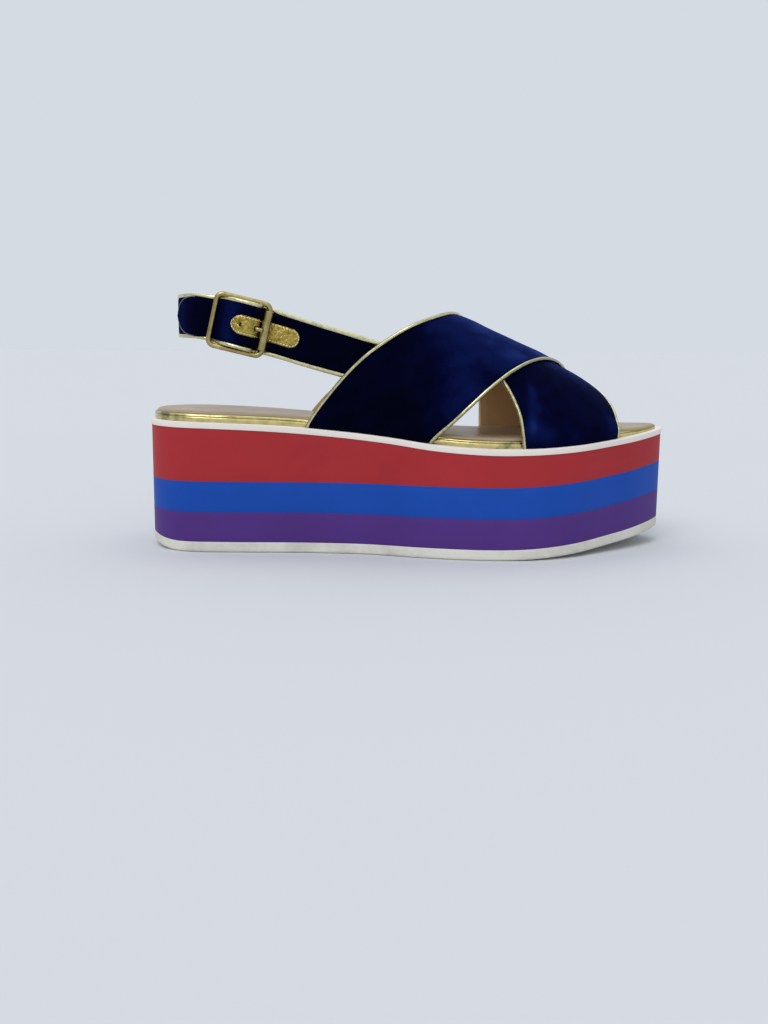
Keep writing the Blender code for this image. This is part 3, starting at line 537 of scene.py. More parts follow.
# Patch: patchy painted shade all over
GOLD_PATCH = gold("gold_patch", (0.42, 0.32, 0.07), 0.85, (0.1, 0.3), 430.0, 0.6, 0.4, True)
LINING = leather("tan_lining", (0.60, 0.375, 0.18), 0.55)
LINING_FOLD = leather("tan_fold", (0.64, 0.43, 0.225), 0.5)
LINING_THREAD = leather("tan_thread", (0.60, 0.48, 0.33), 0.6)
# Footbed leather, gold tint with painted shade at the toe
FOOTBED = leather("beige_footbed", (0.34, 0.267, 0.178), 0.34, 0.1, 0.22, (0.25, 0.20, 0.045))
EDGE_PAINT = moulded("tab_edge_paint", (0.10, 0.12, 0.17), 0.4)
BRASS = brass()
THREAD = gold("gold_thread", (0.88, 0.78, 0.44), 0.3, (0.3, 0.5))
RED = moulded("layer_red", (0.375, 0.029, 0.035), 0.5)
BLUE = moulded("layer_blue", (0.009, 0.068, 0.385), 0.5)
PURPLE = moulded("layer_purple", (0.080, 0.032, 0.20), 0.5)
WHITE = moulded("rand_white", (0.80, 0.745, 0.685), 0.42, 0.04)
OUTSOLE = rubber_sole()


# Mesh building

def place(points):
    """Points in the part's own frame, in metres."""
    return (np.asarray(points, float) - (MID_X, MID_Y, 0.0)) * MM


def new_mesh(name, points, faces):
    mesh = bpy.data.meshes.new(name)
    mesh.from_pydata(place(points).tolist(), [], [[int(i) for i in f] for f in faces])
    return mesh


def face_outwards(mesh):
    work = bmesh.new()
    work.from_mesh(mesh)
    bmesh.ops.recalc_face_normals(work, faces=work.faces[:])
    work.to_mesh(mesh)
    work.free()


def add_object(name, data):
    thing = bpy.data.objects.new(name, data)
    bpy.context.scene.collection.objects.link(thing)
    return thing


def piece(name, points, faces, materials, slot, indices=None, replaces=(), tone_and_shade=None, sharp=38.0):
    """Closed smooth mesh that stands for the named solids."""
    mesh = new_mesh(name, points, faces)
    for m in materials:
        mesh.materials.append(m)
    if indices is not None:
        mesh.polygons.foreach_set("material_index", np.asarray(indices, np.int32))
    if tone_and_shade is not None:
        values = mesh.attributes.new("tone_and_shade", "FLOAT", "POINT")
        values.data.foreach_set("value", np.asarray(tone_and_shade, np.float32))
    face_outwards(mesh)
    mesh.polygons.foreach_set("use_smooth", np.ones(len(mesh.polygons), bool))
    mesh.set_sharp_from_angle(angle=math.radians(sharp))
    thing = add_object(name, mesh)
    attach(thing, "root")
    if replaces:
        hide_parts(*replaces)
    return thing


def loft(rings, closed_along=False, cap=True):
    """Points and faces of a skin through rings of equal size."""
    count, size = len(rings), len(rings[0])
    faces = []
    for i in range(count if closed_along else count - 1):
        n = (i + 1) % count
        for j in range(size):
            k = (j + 1) % size
            faces.append((i * size + j, i * size + k, n * size + k, n * size + j))
    if cap and not closed_along:
        faces.append(list(range(size)))
        faces.append(list(range((count - 1) * size, count * size)))
    return np.concatenate(rings), faces


def strip_caps(count, offset):
    """Faces that close a ring of the outline in strips."""
    faces = []
    for i in range(count // 2):
        ids = dict.fromkeys((i, i + 1, (count - i - 1) % count, (count - i) % count))
        faces.append([offset + k for k in ids])
    return faces


def even_steps(path, spacing):
    length = distances(path)
    even = np.linspace(0.0, length[-1], max(3, round(length[-1] / spacing) + 1))
    return np.stack([np.interp(even, length, path[:, k]) for k in range(path.shape[1])], 1)


def tube(path, radius, sides=16, power=2.0, closed=False, round_tips=True):
    """Bead along a path, round or squarish in section, with domed tips."""
    path = np.asarray(path, float)
    radius = np.broadcast_to(radius, len(path)).astype(float)
    if closed:
        way = unit(np.roll(path, -1, 0) - np.roll(path, 1, 0))
    else:
        way = unit(np.gradient(path, axis=0))
    side = np.zeros_like(path)
    last = np.cross(way[0], (0.31, 0.17, 0.93))
    for i in range(len(path)):
        last = last - way[i] * np.dot(last, way[i])
        last = last / np.linalg.norm(last)
        side[i] = last
    other = np.cross(way, side)
    turn = np.linspace(0.0, 2 * math.pi, sides, endpoint=False)
    c, s = np.cos(turn), np.sin(turn)
    stretch = (np.abs(c) ** power + np.abs(s) ** power) ** (-1 / power)
    ring = (c * stretch)[None, :, None] * side[:, None] + (s * stretch)[None, :, None] * other[:, None]
    rings = [path[i] + radius[i] * ring[i] for i in range(len(path))]
    if not closed and round_tips:
        for tip, sign in ((0, -1), (len(path) - 1, 1)):
            extra = []
            for angle in np.radians(TIP_ANGLES):
                centre = path[tip] + sign * way[tip] * radius[tip] * math.sin(angle)
                extra.append(centre + radius[tip] * math.cos(angle) * ring[tip])
            rings = extra[::-1] + rings if sign < 0 else rings + extra
    return loft(rings, closed_along=closed)


def joined(parts):
    points, faces, offset = [], [], 0
    for some, found in parts:
        points.append(some)
        faces += [[offset + k for k in f] for f in found]
        offset += len(some)
    return np.concatenate(points), faces


def stitches(name, runs, stitch, material, slot):
    """Short threads in a row along each path."""
    pitch, length, radius = stitch
    step, thinner = 0.05, 0.8
    each, reach = round(pitch / step), round(length / step)
    threads = []
    for run in runs:
        path = even_steps(run, step)
        for first in range(0, len(path) - reach, each):
            bit = path[first:first + reach + 1:4]
            share = np.array([thinner] + [1.0] * (len(bit) - 2) + [thinner])
            threads.append(tube(bit, share * radius, 8))
    piece(name, *joined(threads), [material], slot, sharp=80.0)


# Platform

def layer(name, material, proud, low, high, rounding, node, swell=0.0):
    """Band of the platform with softly rounded edges."""
    below, above = rounding
    quarter = np.linspace(0.0, math.pi / 2, 5)
    rows = [(0.0, below * (1 - math.sin(a)), below * (1 - math.cos(a))) for a in quarter]
    rows += [(t, -swell * math.sin(math.pi * t), below - t * (below + above)) for t in (0.25, 0.5, 0.75)]
    rows += [(1.0, above * (1 - math.cos(a)), -above * (1 - math.sin(a))) for a in quarter]
    rings = []
    for share, inset, lift in rows:
        ring = plan_ring(inset - proud)
        x = ring[:, 0]
        rings.append(np.column_stack([ring, low(x) + share * (high(x) - low(x)) + lift]))
    points, faces = loft(rings, cap=False)
    count = len(RING)
    faces += strip_caps(count, 0) + strip_caps(count, (len(rings) - 1) * count)
    piece(name, points, faces, [material], node, replaces=(node,))


def sprung(height):
    """Level that the toe spring bends up."""
    return lambda x: toe_spring(x) + height


def make_sole():
    """Tread, three colour bands and the white rand, a hairline apart."""
    layer("sole_tread", OUTSOLE, OUTSOLE_PROUD, lambda x: toe_spring(x) + heel_bevel(x),
          lambda x: outsole_top(x) - 2 * HAIRLINE, OUTSOLE_ROUND, "outsole")
    layer("band_purple", PURPLE, 0.0, lambda x: outsole_top(x) - HAIRLINE, sprung(PURPLE_TOP - HAIRLINE),
          BAND_ROUND, "platform_purple")
    layer("band_blue", BLUE, 0.0, sprung(PURPLE_TOP), sprung(BLUE_TOP - HAIRLINE),
          BAND_ROUND, "platform_blue")
    layer("band_red", RED, 0.0, sprung(BLUE_TOP), lambda x: rand_top(x) - RAND_HEIGHT - HAIRLINE,
          BAND_ROUND, "platform_red")
    layer("rand_white", WHITE, RAND_PROUD, lambda x: rand_top(x) - RAND_HEIGHT, rand_top,
          RAND_ROUND, "platform_white", RAND_SWELL)


def make_rim():
    """Gold leather over the footbed's edge, pleated round heel and toe, with patchy painted shade."""
    along = RING[:, 0]
    ledge = rim_ledge(along)
    ends = clamp(1 - np.minimum(along, LENGTH - along) / PLEAT_REACH)
    rings = []
    for j, (inward, height) in enumerate(RIM_PROFILE):
        ring = plan_ring(ledge + inward)
        p = np.column_stack([ring, rand_top(ring[:, 0]) + height * smooth(RIM_FULLNESS, 1, ring[:, 0])])
        free = math.sin(math.pi * j / (len(RIM_PROFILE) - 1))
        pleat = np.sin(RING_AT * (2 * math.pi / PLEAT_PITCH) + PLEAT_SLANT * j) * ends ** 3 * PLEAT_DEPTH
        crease = waves(p, RIM_WAVES, 5) * (RIM_CREASE + RIM_CREASE_ENDS * ends)
        lift = (pleat + crease) * free
        upward = height / RIM_HEIGHT
        p[:, :2] -= RING_IN * (lift * (1 - upward))[:, None]
        p[:, 2] += lift * upward
        rings.append(p)
    # Painted shade, strongest at the back of the heel and under the straps
    shade_patches = RIM_SHADE + humps(along, RIM_SHADE_SPOTS)
    piece("footbed_rim", *loft(rings, closed_along=True), [GOLD_RIM], "gold_leather",
          replaces=("insole_rim",), tone_and_shade=np.tile(shade_patches, len(RIM_PROFILE)), sharp=70.0)


def pad_top(edge, first_edge, first_new):
    """The pad's top, hollow under heel and ball and raised at the arch."""
    count = len(edge)
    points, faces, rows = [], [], []
    for a in range(count // 2 + 1):
        b = (count - a) % count
        if a == b:
            rows.append([first_edge + a])
            continue
        row = [first_edge + a]
        for k in range(1, PAD_CELLS):
            t = k / PAD_CELLS
            p = edge[a] * (1 - t) + edge[b] * t
            across = 2 * t - 1
            arch = humps(p[0], PAD_ARCH) * (0.5 + 0.5 * across)
            p[2] += (1 - across ** 2) ** 2 * (PAD_CROWN + humps(p[0], PAD_HOLLOWS) + arch)
            row.append(first_new + len(points))
            points.append(p)
        rows.append(row + [first_edge + b])
    for first, second in zip(rows[:-1], rows[1:]):
        if len(first) == 1 or len(second) == 1:
            tip, row = (first[0], second) if len(first) == 1 else (second[0], first)
            faces += [(tip, row[k], row[k + 1]) for k in range(len(row) - 1)]
        else:
            faces += [(first[k], first[k + 1], second[k + 1], second[k]) for k in range(PAD_CELLS)]
    return np.array(points), faces


def make_footbed():
    """Padded beige sock, lower at the toe, with a gold tint and painted shade down its rounded toe edge."""
    along = RING[:, 0]
    toe, gilt_shaded = span(along, PAD_TOE), span(along, GILT_SHADE_TOE)
    ledge = rim_ledge(along) + RIM_WIDTH - PAD_LAP - PAD_LAP_TOE * toe
    rings, gilt_and_shade = [], []
    for inset, height, low, tint in PAD_PROFILE:
        ring = plan_ring(ledge + inset)
        fullness = PAD_LOWEST + (1 - PAD_LOWEST) * smooth(RIM_FULLNESS, 1, ring[:, 0])
        grown = (height + (low - height) * toe) * fullness
        rings.append(np.column_stack([ring, rand_top(ring[:, 0]) + grown]))
        gilt_and_shade.append(tint * gilt_shaded)
    points, faces = loft(rings, cap=False)
    top, top_faces = pad_top(rings[-1], (len(rings) - 1) * len(RING), len(points))
    faces += strip_caps(len(RING), 0) + top_faces
    gilt_and_shade.append(np.zeros(len(top)))
    pad = piece("footbed", np.concatenate([points, top]), faces, [FOOTBED], "insole_leather",
                replaces=("insole",), tone_and_shade=np.concatenate(gilt_and_shade), sharp=60.0)


# Straps over the foot

def patches(x, around, table):
    total = np.zeros_like(x)
    for at, turn, reach, turn_reach, strength in table:
        total += strength * np.exp(-((x - at) / reach) ** 2 - ((around - turn) / turn_reach) ** 2)
    return total


def strap_faces(edge):
    """Faces of a strap's two sheets and their rims, with their materials."""
    along, across = edge.shape[0] - 1, edge.shape[1] - 1
    row, total = across + 1, edge.size
    outside, lining, hem = 0, 1, 2
    faces, indices = [], []
    for i in range(along):
        for j in range(across):
            p = i * row + j
            faces.append((p, p + 1, p + row + 1, p + row))
            faces.append((total + p, total + p + row, total + p + row + 1, total + p + 1))
            hemmed = max(edge[i, j], edge[i, j + 1]) < HEM_WIDTH + HEM_MARGIN
            indices += [outside, hem if hemmed else lining]
        for p in (i * row, i * row + across):
            faces.append((p, p + row, total + p + row, total + p))
            indices.append(hem)
    for j in range(across):
        for p in (j, along * row + j):
            faces.append((p, p + 1, total + p + 1, total + p))
            indices.append(outside)
    return faces, indices


def strap(name, rear, front, sunk, nap_and_light, seed):
    """Velvet outside, leather inside, turned edges and slightly uneven cloth."""
    around = np.linspace(0.0, 1.0, STRAP_STEPS + 1)
    crowded = (1 - np.cos(np.linspace(0.0, math.pi, ACROSS_STEPS + 1))) / 2
    u = crowded * EDGE_CROWDING + np.linspace(0.0, 1.0, ACROSS_STEPS + 1) * (1 - EDGE_CROWDING)
    a, v = np.meshgrid(around, u, indexing="ij")
    start, stop = smooth(STRAP_EDGES, rear, a), smooth(STRAP_EDGES, front, a)
    x = start + (stop - start) * v
    base, out = vamp(x, a), vamp_normal(x, a)
    raised = -SINK * under_sink(x, a) * sunk
    edge = np.minimum(v, 1 - v) * (stop - start)
    turned = clamp(1 - edge / EDGE_TURN) ** 2
    away = clamp(edge / CLOTH_FREE) * clamp(np.minimum(a, 1 - a) / BASE_HELD)
    uneven = waves(base, CLOTH_WAVES, seed) * CLOTH_DEPTH * away
    full = CLOTH_FULL * clamp(edge / FULL_REACH)
    hem = HEM_RAISED * clamp((HEM_WIDTH - edge) / HEM_STEP)
    outer = base + out * (raised - EDGE_DROP * turned + uneven + full)[..., None]
    inner = base + out * (raised - WALL - hem)[..., None]
    faces, indices = strap_faces(edge)
    # Pile tone plus painted highlight and shade from the patch table
    lightness = NAP_BASE + patches(x, a, nap_and_light) + NAP_UNEVEN * waves(base, NAP_WAVES, seed + 1)
    points = np.concatenate([outer.reshape(-1, 3), inner.reshape(-1, 3)])
    piece(name, points, faces, [VELVET, LINING, LINING_FOLD], "velvet", indices, ("upper",),
          np.tile(lightness.ravel(), 2), 50.0)
    runs = []
    for column, inward in ((rear, SEAM_INSET), (front, -SEAM_INSET)):
        a = np.linspace(*SEAM_SPAN, 300)
        x = smooth(STRAP_EDGES, column, a) + inward
        depth = WALL + HEM_RAISED + HAIRLINE + SINK * under_sink(x, a) * sunk
        runs.append(vamp(x, a) - vamp_normal(x, a) * depth[:, None])
    stitches(name + "_stitches", runs, HEM_STITCH, LINING_THREAD, "velvet")


def edge_piping(label, column, outward, start, stop, sunk):
    """Gold bead along a strap edge, with painted shade on its side away from the velvet."""
    a = np.linspace(start, stop, 400)
    x = smooth(STRAP_EDGES, column, a)
    middle, out = vamp(x, a), vamp_normal(x, a)
    sideways = unit(np.cross(out, unit(np.gradient(middle, axis=0))))
    sideways = sideways * np.sign(sideways[:, :1]) * outward
    crossing = -SINK if sunk else BEAD_AT_CROSSING
    medial = span(a, BEAD_MEDIAL)
    tucked = BEAD_TUCK * (column == UNDER_FRONT) * (1 - medial)
    height = crossing * under_sink(x, a) - BEAD_SUNK + BEAD_LIFT * medial - tucked
    aside = PIPING * (BEAD_ASIDE - BEAD_SHIFT * medial) - tucked
    path = middle + out * height[:, None] + sideways * aside[:, None]
    path = np.column_stack([path, sideways])[path[:, 2] > rand_top(path[:, 0]) + BEAD_FOOT]
    path = even_steps(path, 0.9)
    path, sideways = path[:, :3], unit(path[:, 3:])
    swell = (PIPING + PIPING_FULLER) * (1 + 0.05 * waves(path, (4.0, 9.0), 21))
    points, faces = tube(path, swell, BEAD_SIDES)
    # Painted shade on the bead's side away from the velvet
    near = np.clip(np.arange(len(points)) // BEAD_SIDES - len(TIP_ANGLES), 0, len(path) - 1)
    away = ((points - path[near]) * sideways[near]).sum(1) / PIPING
    piece("bead_" + label, points, faces, [GOLD], "gold_leather", replaces=("piping_" + label,),
          tone_and_shade=clamp((away - 0.05) / 0.5), sharp=80.0)


def make_upper():
    strap("strap_over", OVER_REAR, OVER_FRONT, False, NAP_AND_LIGHT_OVER, 31)
    strap("strap_under", UNDER_REAR, UNDER_FRONT, True, NAP_AND_LIGHT_UNDER, 47)
    for bead in BEADS:
        edge_piping(*bead)


# Sling

def sling_path():
    """The sling's path round the heel, with distances behind the front bar."""
    straight = np.linspace(SLING_FRONT, HEEL_CENTRE, 80)
    tuck = span(straight, TUCK_SPAN)
    lateral = np.stack([straight, SLING_LATERAL + LATERAL_TUCK * tuck], 1)
    medial = np.stack([straight, SLING_MEDIAL - MEDIAL_TUCK * tuck], 1)[::-1]
    turn = np.linspace(0.0, math.pi, 81)[1:-1]
    middle, half = (SLING_MEDIAL + SLING_LATERAL) / 2, (SLING_MEDIAL - SLING_LATERAL) / 2
    heel = np.stack([HEEL_CENTRE - (HEEL_CENTRE - HEEL_BACK) * np.sin(turn), middle - half * np.cos(turn)], 1)
    plan = np.concatenate([lateral, heel, medial])
    points = np.column_stack([plan, smooth(SLING_HEIGHT, 1, plan[:, 0])])
    distance = distances(points)
    front_bar = np.interp(SLING_FRONT - FRONT_BAR, SLING_FRONT - straight, distance[:len(straight)])
    return distance - front_bar, points


SLING_AT, SLING_POINTS = sling_path()
HEEL_RUN = np.linspace((SLING_AT[-1] - 1.0, *FOLD[0, 1:]), FOLD[0], 190)[:-1]


def on_sling(s):
    return np.stack([np.interp(s, SLING_AT, SLING_POINTS[:, k]) for k in range(3)], -1)


def together(*values):
    return np.broadcast_arrays(*(np.asarray(v, float) for v in values))


def beside(way):
    """Directions outwards from a path and up across it."""
    level = unit(np.stack([-way[..., 1], way[..., 0], np.zeros_like(way[..., 0])], -1))
    rise = np.cross(level, way)
    return level, rise * np.sign(rise[..., 2:])


def wrap(behind, out, up):
    """Point beside the sling's path: along it, outwards and up across."""
    behind, out, up = together(behind, out, up)
    level, rise = beside(unit(on_sling(behind + 1.2) - on_sling(behind - 1.2)))
    return on_sling(behind) + level * out[..., None] + rise * up[..., None]


def line_normal(line):
    way = unit(np.gradient(line, axis=0))
    return np.stack([-way[:, 1], way[:, 0]], 1)


def tab_line(start, stop, spacing):
    """Part of the fastening strap's middle line (behind, out)."""
    knots = TAB_WEAVE[:, 0]
    stretches = [np.linspace(p, q, 13)[:-1] for p, q in zip(knots[:-1], knots[1:])]
    dense = np.concatenate(stretches + [knots[-1:]])
    line = np.stack([dense, smooth(TAB_WEAVE, 1, dense)], 1)
    return even_steps(line[(dense >= start - 1e-6) & (dense <= stop + 1e-6)], spacing)


def round_end(behind, end, reach, half):
    d = np.clip((reach - np.abs(end - behind)) / reach, 0.0, 0.998)
    return half * np.sqrt(1 - d ** 2)


def sling_half(behind):
    """Half width of the velvet, which meets its piping and fills the buckle."""
    fill = BUCKLE_FILL * np.exp(-((behind - FILL_MIDDLE) / FILL_REACH) ** 4)
    return smooth(SLING_WIDTH, 1, behind) + SLING_TURNED + fill


def ribbon(name, line, thickness, half, materials, node, slot, tone_and_shade, crown=CROWN, base=0.0):
    """Strap along a middle line: crowned face, flat back and turned edges."""
    thickness = np.broadcast_to(thickness, len(line))
    normal = line_normal(line)
    w = -np.cos(np.linspace(0.0, math.pi, RIBBON_FRONT))
    front = crown * (1 - w ** 2) - RIBBON_DROP * np.abs(w) ** 12
    outline = np.concatenate([w, np.linspace(1.0, -1.0, RIBBON_BACK)])
    rings = []
    for i, (s, n) in enumerate(line):
        back = np.full(RIBBON_BACK, base - thickness[i] / 2)
        offsets = np.concatenate([base + thickness[i] / 2 + front, back])
        rings.append(wrap(s + normal[i, 0] * offsets, n + normal[i, 1] * offsets, outline * half[i]))
    points, faces = loft(rings)
    size = len(outline)
    indices = [int(RIBBON_FRONT <= k % size < size - 1) for k in range(len(faces) - 2)] + [0, 0]
    return piece(name, points, faces, materials, slot, indices, (node,), np.repeat(tone_and_shade, size), 55.0)


def block(behind, out, half):
    """Cutter beside the sling's path."""
    points = [wrap(s, n, w) for s in behind for n in out for w in (-half, half)]
    faces = ((0, 1, 3, 2), (4, 6, 7, 5), (0, 4, 5, 1), (2, 3, 7, 6), (0, 2, 6, 4), (1, 5, 7, 3))
    mesh = new_mesh("cutter", points, faces)
    face_outwards(mesh)
    return add_object("cutter", mesh)


def cut(thing, cutters):
    """Cuts the blocks out of a piece's mesh."""
    for c in cutters:
        modifier = thing.modifiers.new("cut", "BOOLEAN")
        modifier.operation = "DIFFERENCE"
        modifier.solver = "EXACT"
        modifier.object = c
    result = bpy.data.meshes.new_from_object(thing.evaluated_get(bpy.context.evaluated_depsgraph_get()))
    thing.modifiers.clear()
    thing.data = result
    for c in cutters:
        bpy.data.objects.remove(c, do_unlink=True)
    thing.data.set_sharp_from_angle(angle=math.radians(45.0))


def hole_blocks():
    reach = HOLE_LENGTH / 2
    blocks = [block((m - reach, m + reach), (-HOLE_REACH, HOLE_REACH), HOLE_HALF) for m in HOLES]
    return blocks + [block(PRONG_SLOT[:2], (SLOT_FROM, HOLE_REACH), PRONG_SLOT[2])]


def fastening_line():
    """The fastening strap's middle line, finer at the buckle and the tip."""
    front, back = TAB_WEAVE[0, 0], TAB_WEAVE[-1]
    near, far = TAB_FINE
    line = np.concatenate([tab_line(front, near, 1.2)[:-1], tab_line(near, far, 0.45)[:-1],
                           tab_line(far, back[0], 0.6)])
    tip = TAB_END - np.array([0.45, 0.2, 0.06, 0.0])
    tip_line = np.column_stack([tip, np.full(len(tip), back[1])])
    return np.concatenate([line[line[:, 0] < tip[0] - 0.2], tip_line])


def make_tab(line):
    half = round_end(line[:, 0], TAB_END, TAB_ROUND, sling_half(line[:, 0]))
    # Pile tone plus painted highlights along the fastening strap
    tone_and_shade = TAB_NAP + humps(line[:, 0], TAB_PAINTED_LIGHT)
    tab = ribbon("sling_tab", line, SLING_WALL, half, [VELVET, LINING], "sling_strap", "velvet", tone_and_shade)
    cut(tab, hole_blocks())


def make_patch():
    """Gold patch on the fastening strap, stitched down all round, with patchy painted shade."""
    first, last = PATCH_SPAN
    middle = np.concatenate([tab_line(first, TAB_FINE[0], 0.5)[:-1], tab_line(TAB_FINE[0], last, 0.4)])
    half = np.minimum(round_end(middle[:, 0], first, PATCH_HALF, PATCH_HALF),
                      round_end(middle[:, 0], last, PATCH_HALF, PATCH_HALF))
    # An attribute of one all over: patchy painted shade on the whole patch
    patch = ribbon("hole_patch_gold", middle, PATCH_WALL, half, [GOLD_PATCH, GOLD_PATCH], "hole_patch",
                   "gold_leather", np.ones(len(middle)), PATCH_CROWN, SLING_WALL / 2 + CROWN + HAIRLINE)
    cut(patch, hole_blocks())

    wide = half > SEWN_FROM
    reach = half[wide] - SEWN_INSET
    sewn = (middle + line_normal(middle) * (SLING_WALL / 2 + CROWN + SEWN_RAISED))[wide]
    upper = wrap(sewn[:, 0], sewn[:, 1], reach)
    lower = wrap(sewn[:, 0], sewn[:, 1], -reach)[::-1]
    seam = np.concatenate([upper, lower, upper[:1]])
    stitches("patch_stitches", [seam], PATCH_STITCH, THREAD, "gold_leather")


def bar_arc(start, stop, radius):
    """Arc round the buckle's centre bar (behind, out)."""
    turn = np.radians(np.linspace(start, stop, 17))
    return np.stack([CENTRE_BAR + radius * np.cos(turn), radius * np.sin(turn)], 1)


def make_heel_band():
    """Strap round the heel, folded round the centre bar and slotted for the prong."""
    arc = bar_arc(-90.0, -270.0, FOLD_RADIUS)
    bend = np.column_stack([arc, np.ones(len(arc))])
    folded = even_steps(np.concatenate([FOLD, bend, FOLD_RETURN]), 0.5)
    line = np.concatenate([HEEL_RUN, folded])[::-1]
    tone_and_shade = 0.2 + 0.1 * np.sin(line[:, 0] / 9.0)
    band = ribbon("heel_band", line[:, :2], line[:, 2], sling_half(line[:, 0]), [VELVET, LINING],
                  "heel_strap", "velvet", tone_and_shade, 0.0)
    cut(band, [block(FOLD_SLOT[:2], (-SLOT_REACH, SLOT_REACH), FOLD_SLOT[2])])


def make_tab_edge(line):
    tip = line[line[:, 0] > TAB_END - TAB_ROUND - 1.0]
    reach = round_end(tip[:, 0], TAB_END, TAB_ROUND, sling_half(tip[:, 0])) - PAINT_INSET
    lift = tip[:, 1] + SLING_WALL / 2 - PAINT_INSET
    path = np.concatenate([wrap(tip[:, 0], lift, reach), wrap(tip[:, 0], lift, -reach)[::-1]])
    line = tube(even_steps(path, 0.4), PAINT_RADIUS, 10)
    piece("tab_edge", *line, [EDGE_PAINT], "velvet", sharp=80.0)


def sling_bead(label, line, side, spacing, fullness, seed, swell=(), thin=1.0):
    """Gold bead along one edge of a sling strap."""
    path = wrap(line[:, 0], line[:, 1], side * (sling_half(line[:, 0]) + SLING_BEAD_OFF))
    path = even_steps(path, spacing)
    taper = np.clip(np.arange(len(path))[::-1] / BEAD_TAPER, thin, 1.0)
    full = fullness + humps(np.linspace(0.0, 1.0, len(path)), swell) + 0.06 * waves(path, (4.0, 8.0), seed)
    bead = tube(path, SLING_PIPING * taper * full, BEAD_SIDES)
    piece("bead_" + label, *bead, [GOLD], "gold_leather", replaces=("piping_" + label,), sharp=80.0)


def make_sling():
    line = fastening_line()
    make_tab(line)
    make_patch()
    make_heel_band()
    make_tab_edge(line)
    fastening = line[line[:, 0] < TAB_END - TAB_ROUND + 1.0]
    heel = np.concatenate([HEEL_RUN[:, :2], even_steps(FOLD[:5, :2], 0.8)])
    for label, side in (("top", 1.0), ("bottom", -1.0)):
        sling_bead("sling_" + label, fastening, side, 0.7, 1.2, 3, TAB_SWELL, BEAD_THIN)
        sling_bead("heel_" + label, heel, side, 0.8, 1.15, 8)


# Buckle

def buckle_point(behind, out, up):
    """Point beside the buckle, which is straight between its end bars."""
    behind, out, up = together(behind, out, up)
    first, last = wrap((0.0, BUCKLE_LENGTH), 0.0, 0.0)
    along = unit(last - first)
    level, rise = beside(along)
    return first + behind[..., None] * along + out[..., None] * level + up[..., None] * rise


def make_frame():
    corners = []
    near, far = BUCKLE_CORNER, BUCKLE_LENGTH - BUCKLE_CORNER
    for centre, side, first in ((far, 1, 0.0), (near, 1, 90.0), (near, -1, 180.0), (far, -1, 270.0)):
        middle = (centre, side * (BUCKLE_HALF - BUCKLE_CORNER))
        turn = np.radians(np.linspace(first, first + 90.0, 11))
        corners.append(middle + BUCKLE_CORNER * np.stack([np.cos(turn), np.sin(turn)], 1))
    fine = even_steps(np.concatenate(corners + [corners[0][:1]]), 0.45)[:-1]
    bar = np.linspace(-BUCKLE_HALF, BUCKLE_HALF, 9)
    frame_and_bar = joined([
        tube(buckle_point(fine[:, 0], 0.0, fine[:, 1]), BAR_RADIUS, 20, closed=True),
        tube(buckle_point(CENTRE_BAR, 0.0, bar), CENTRE_RADIUS, 16, round_tips=False),
    ])
    piece("buckle_loop", *frame_and_bar, [BRASS], "brass", replaces=("buckle_frame",), sharp=60.0)


def make_roller():
    turn = np.linspace(0.0, 2 * math.pi, 36, endpoint=False)
    end, inset, low = ROLLER_HALF, ROLLER_HALF - ROLLER_EDGE, ROLLER_OUTER - ROLLER_EDGE
    profile = ((low, -end), (ROLLER_OUTER, -inset), (ROLLER_OUTER, -2.0), (ROLLER_OUTER, 2.0),
               (ROLLER_OUTER, inset), (low, end), (ROLLER_INNER, end), (ROLLER_INNER, -end))
    rings = [buckle_point(ROLLER_BEHIND + r * np.cos(turn), r * np.sin(turn), up) for r, up in profile]
    sleeve = loft(rings, closed_along=True)
    piece("buckle_sleeve", *sleeve, [BRASS], "brass", replaces=("buckle_roller",), sharp=35.0)


def make_prong():
    loop = bar_arc(-60.0, 90.0, PRONG_LOOP)
    top = ROLLER_OUTER + PRONG_RADIUS - 0.1
    shaft = ((8.0, 1.9), (5.4, 2.1), (4.2, top - 0.15), (2.9, top + 0.05), (2.0, top), (1.3, top - 0.1))
    line = even_steps(np.concatenate([loop, shaft]), 0.4)
    radius = PRONG_RADIUS * np.interp(line[:, 0], (1.3, 3.0, 7.0), (1.05, 1.08, 0.9))
    path = buckle_point(line[:, 0], line[:, 1], 0.0)
    prong = tube(path, radius, 16, PRONG_POWER, round_tips=False)
    piece("buckle_tongue", *prong, [BRASS], "brass", replaces=("buckle_prong",), sharp=60.0)


# Stage

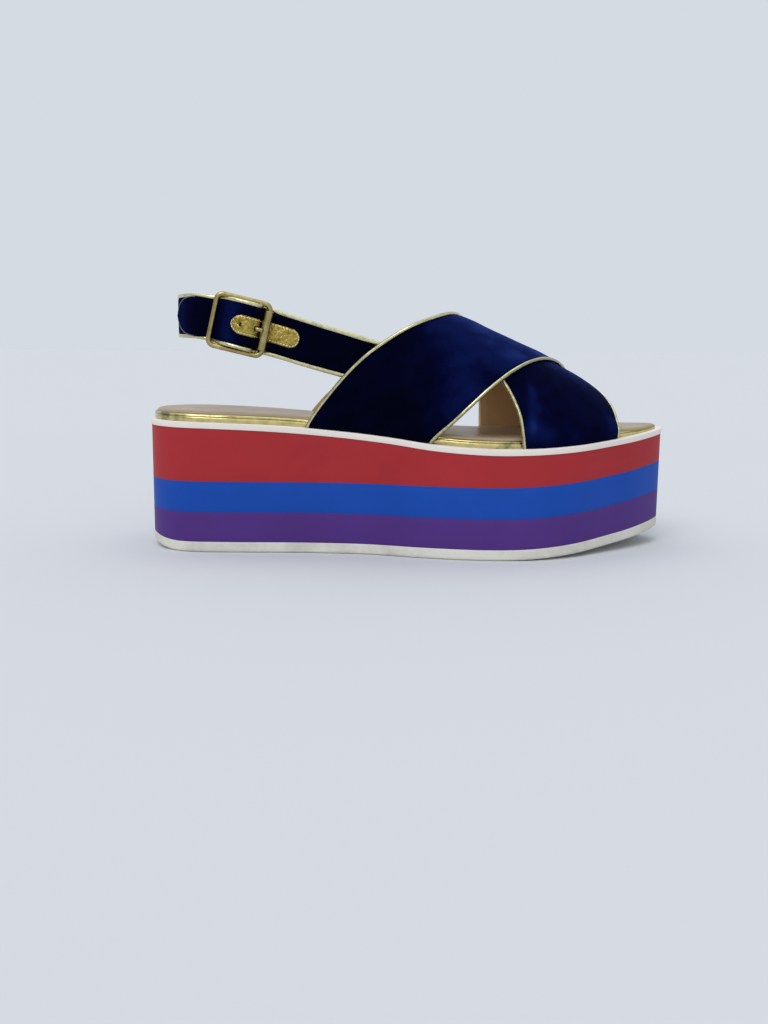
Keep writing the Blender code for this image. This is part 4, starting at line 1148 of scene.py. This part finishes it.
def make_floor():
    m, t, b, where = shader("pale_floor", roughness=0.95, specular_ior_level=0.0)
    tone = ramp(t, noise(t, where, 3.0, 2.0), ((0.2, scaled(FLOOR, 0.995)), (0.8, scaled(FLOOR, 1.005))))
    t.links.new(tone, b.inputs["Base Color"])
    r = FLOOR_REACH
    mesh = bpy.data.meshes.new("floor")
    mesh.from_pydata([(-r, -r, 0), (r, -r, 0), (r, r, 0), (-r, r, 0)], [], [(0, 1, 2, 3)])
    mesh.materials.append(m)
    floor = add_object("floor", mesh)


def make_light():
    """Plain sky, dimmer behind the camera, and soft lamps."""
    world = bpy.data.worlds.new("soft_sky")
    world.use_nodes = True
    tree = world.node_tree
    coords = tree.nodes.new("ShaderNodeTexCoord")
    split = tree.nodes.new("ShaderNodeSeparateXYZ")
    tree.links.new(coords.outputs["Generated"], split.inputs[0])
    sky = ramp(tree, remap(tree, split.outputs["Y"], 0.0, 1.0, -1.0, 1.0), ((0.05, ROOM), (0.42, SKY)))
    tree.links.new(sky, tree.nodes["Background"].inputs["Color"])
    bpy.context.scene.world = world
    for name, lean, turn, angle, power in LAMPS:
        lamp = bpy.data.lights.new(name, "SUN")
        lamp.angle = math.radians(angle)
        lamp.energy = power
        turned = Matrix.Rotation(math.radians(turn), 4, "Z")
        add_object(name, lamp).matrix_world = turned @ Matrix.Rotation(math.radians(lean), 4, "X")


def make_camera():
    """Camera at the photograph's angle."""
    lens = bpy.data.cameras.new("camera")
    lens.sensor_fit = "VERTICAL"
    lens.sensor_height = SENSOR
    lens.lens = SENSOR * FOCAL_PIXELS / IMAGE_PIXELS
    lens.clip_start = 0.01
    lens.clip_end = 1000.0
    camera = add_object("camera", lens)
    tilt = Matrix.Rotation(math.radians(90 - CAMERA_PITCH), 4, "X")
    roll = Matrix.Rotation(math.radians(CAMERA_ROLL), 4, "Z")
    camera.matrix_world = Matrix.Translation(place(CAMERA_AT)) @ tilt @ roll
    bpy.context.scene.camera = camera
    bpy.context.scene.view_settings.view_transform = "Standard"


make_sole()
make_rim()
make_footbed()
make_upper()
make_sling()
make_frame()
make_roller()
make_prong()
make_floor()
make_light()
make_camera()
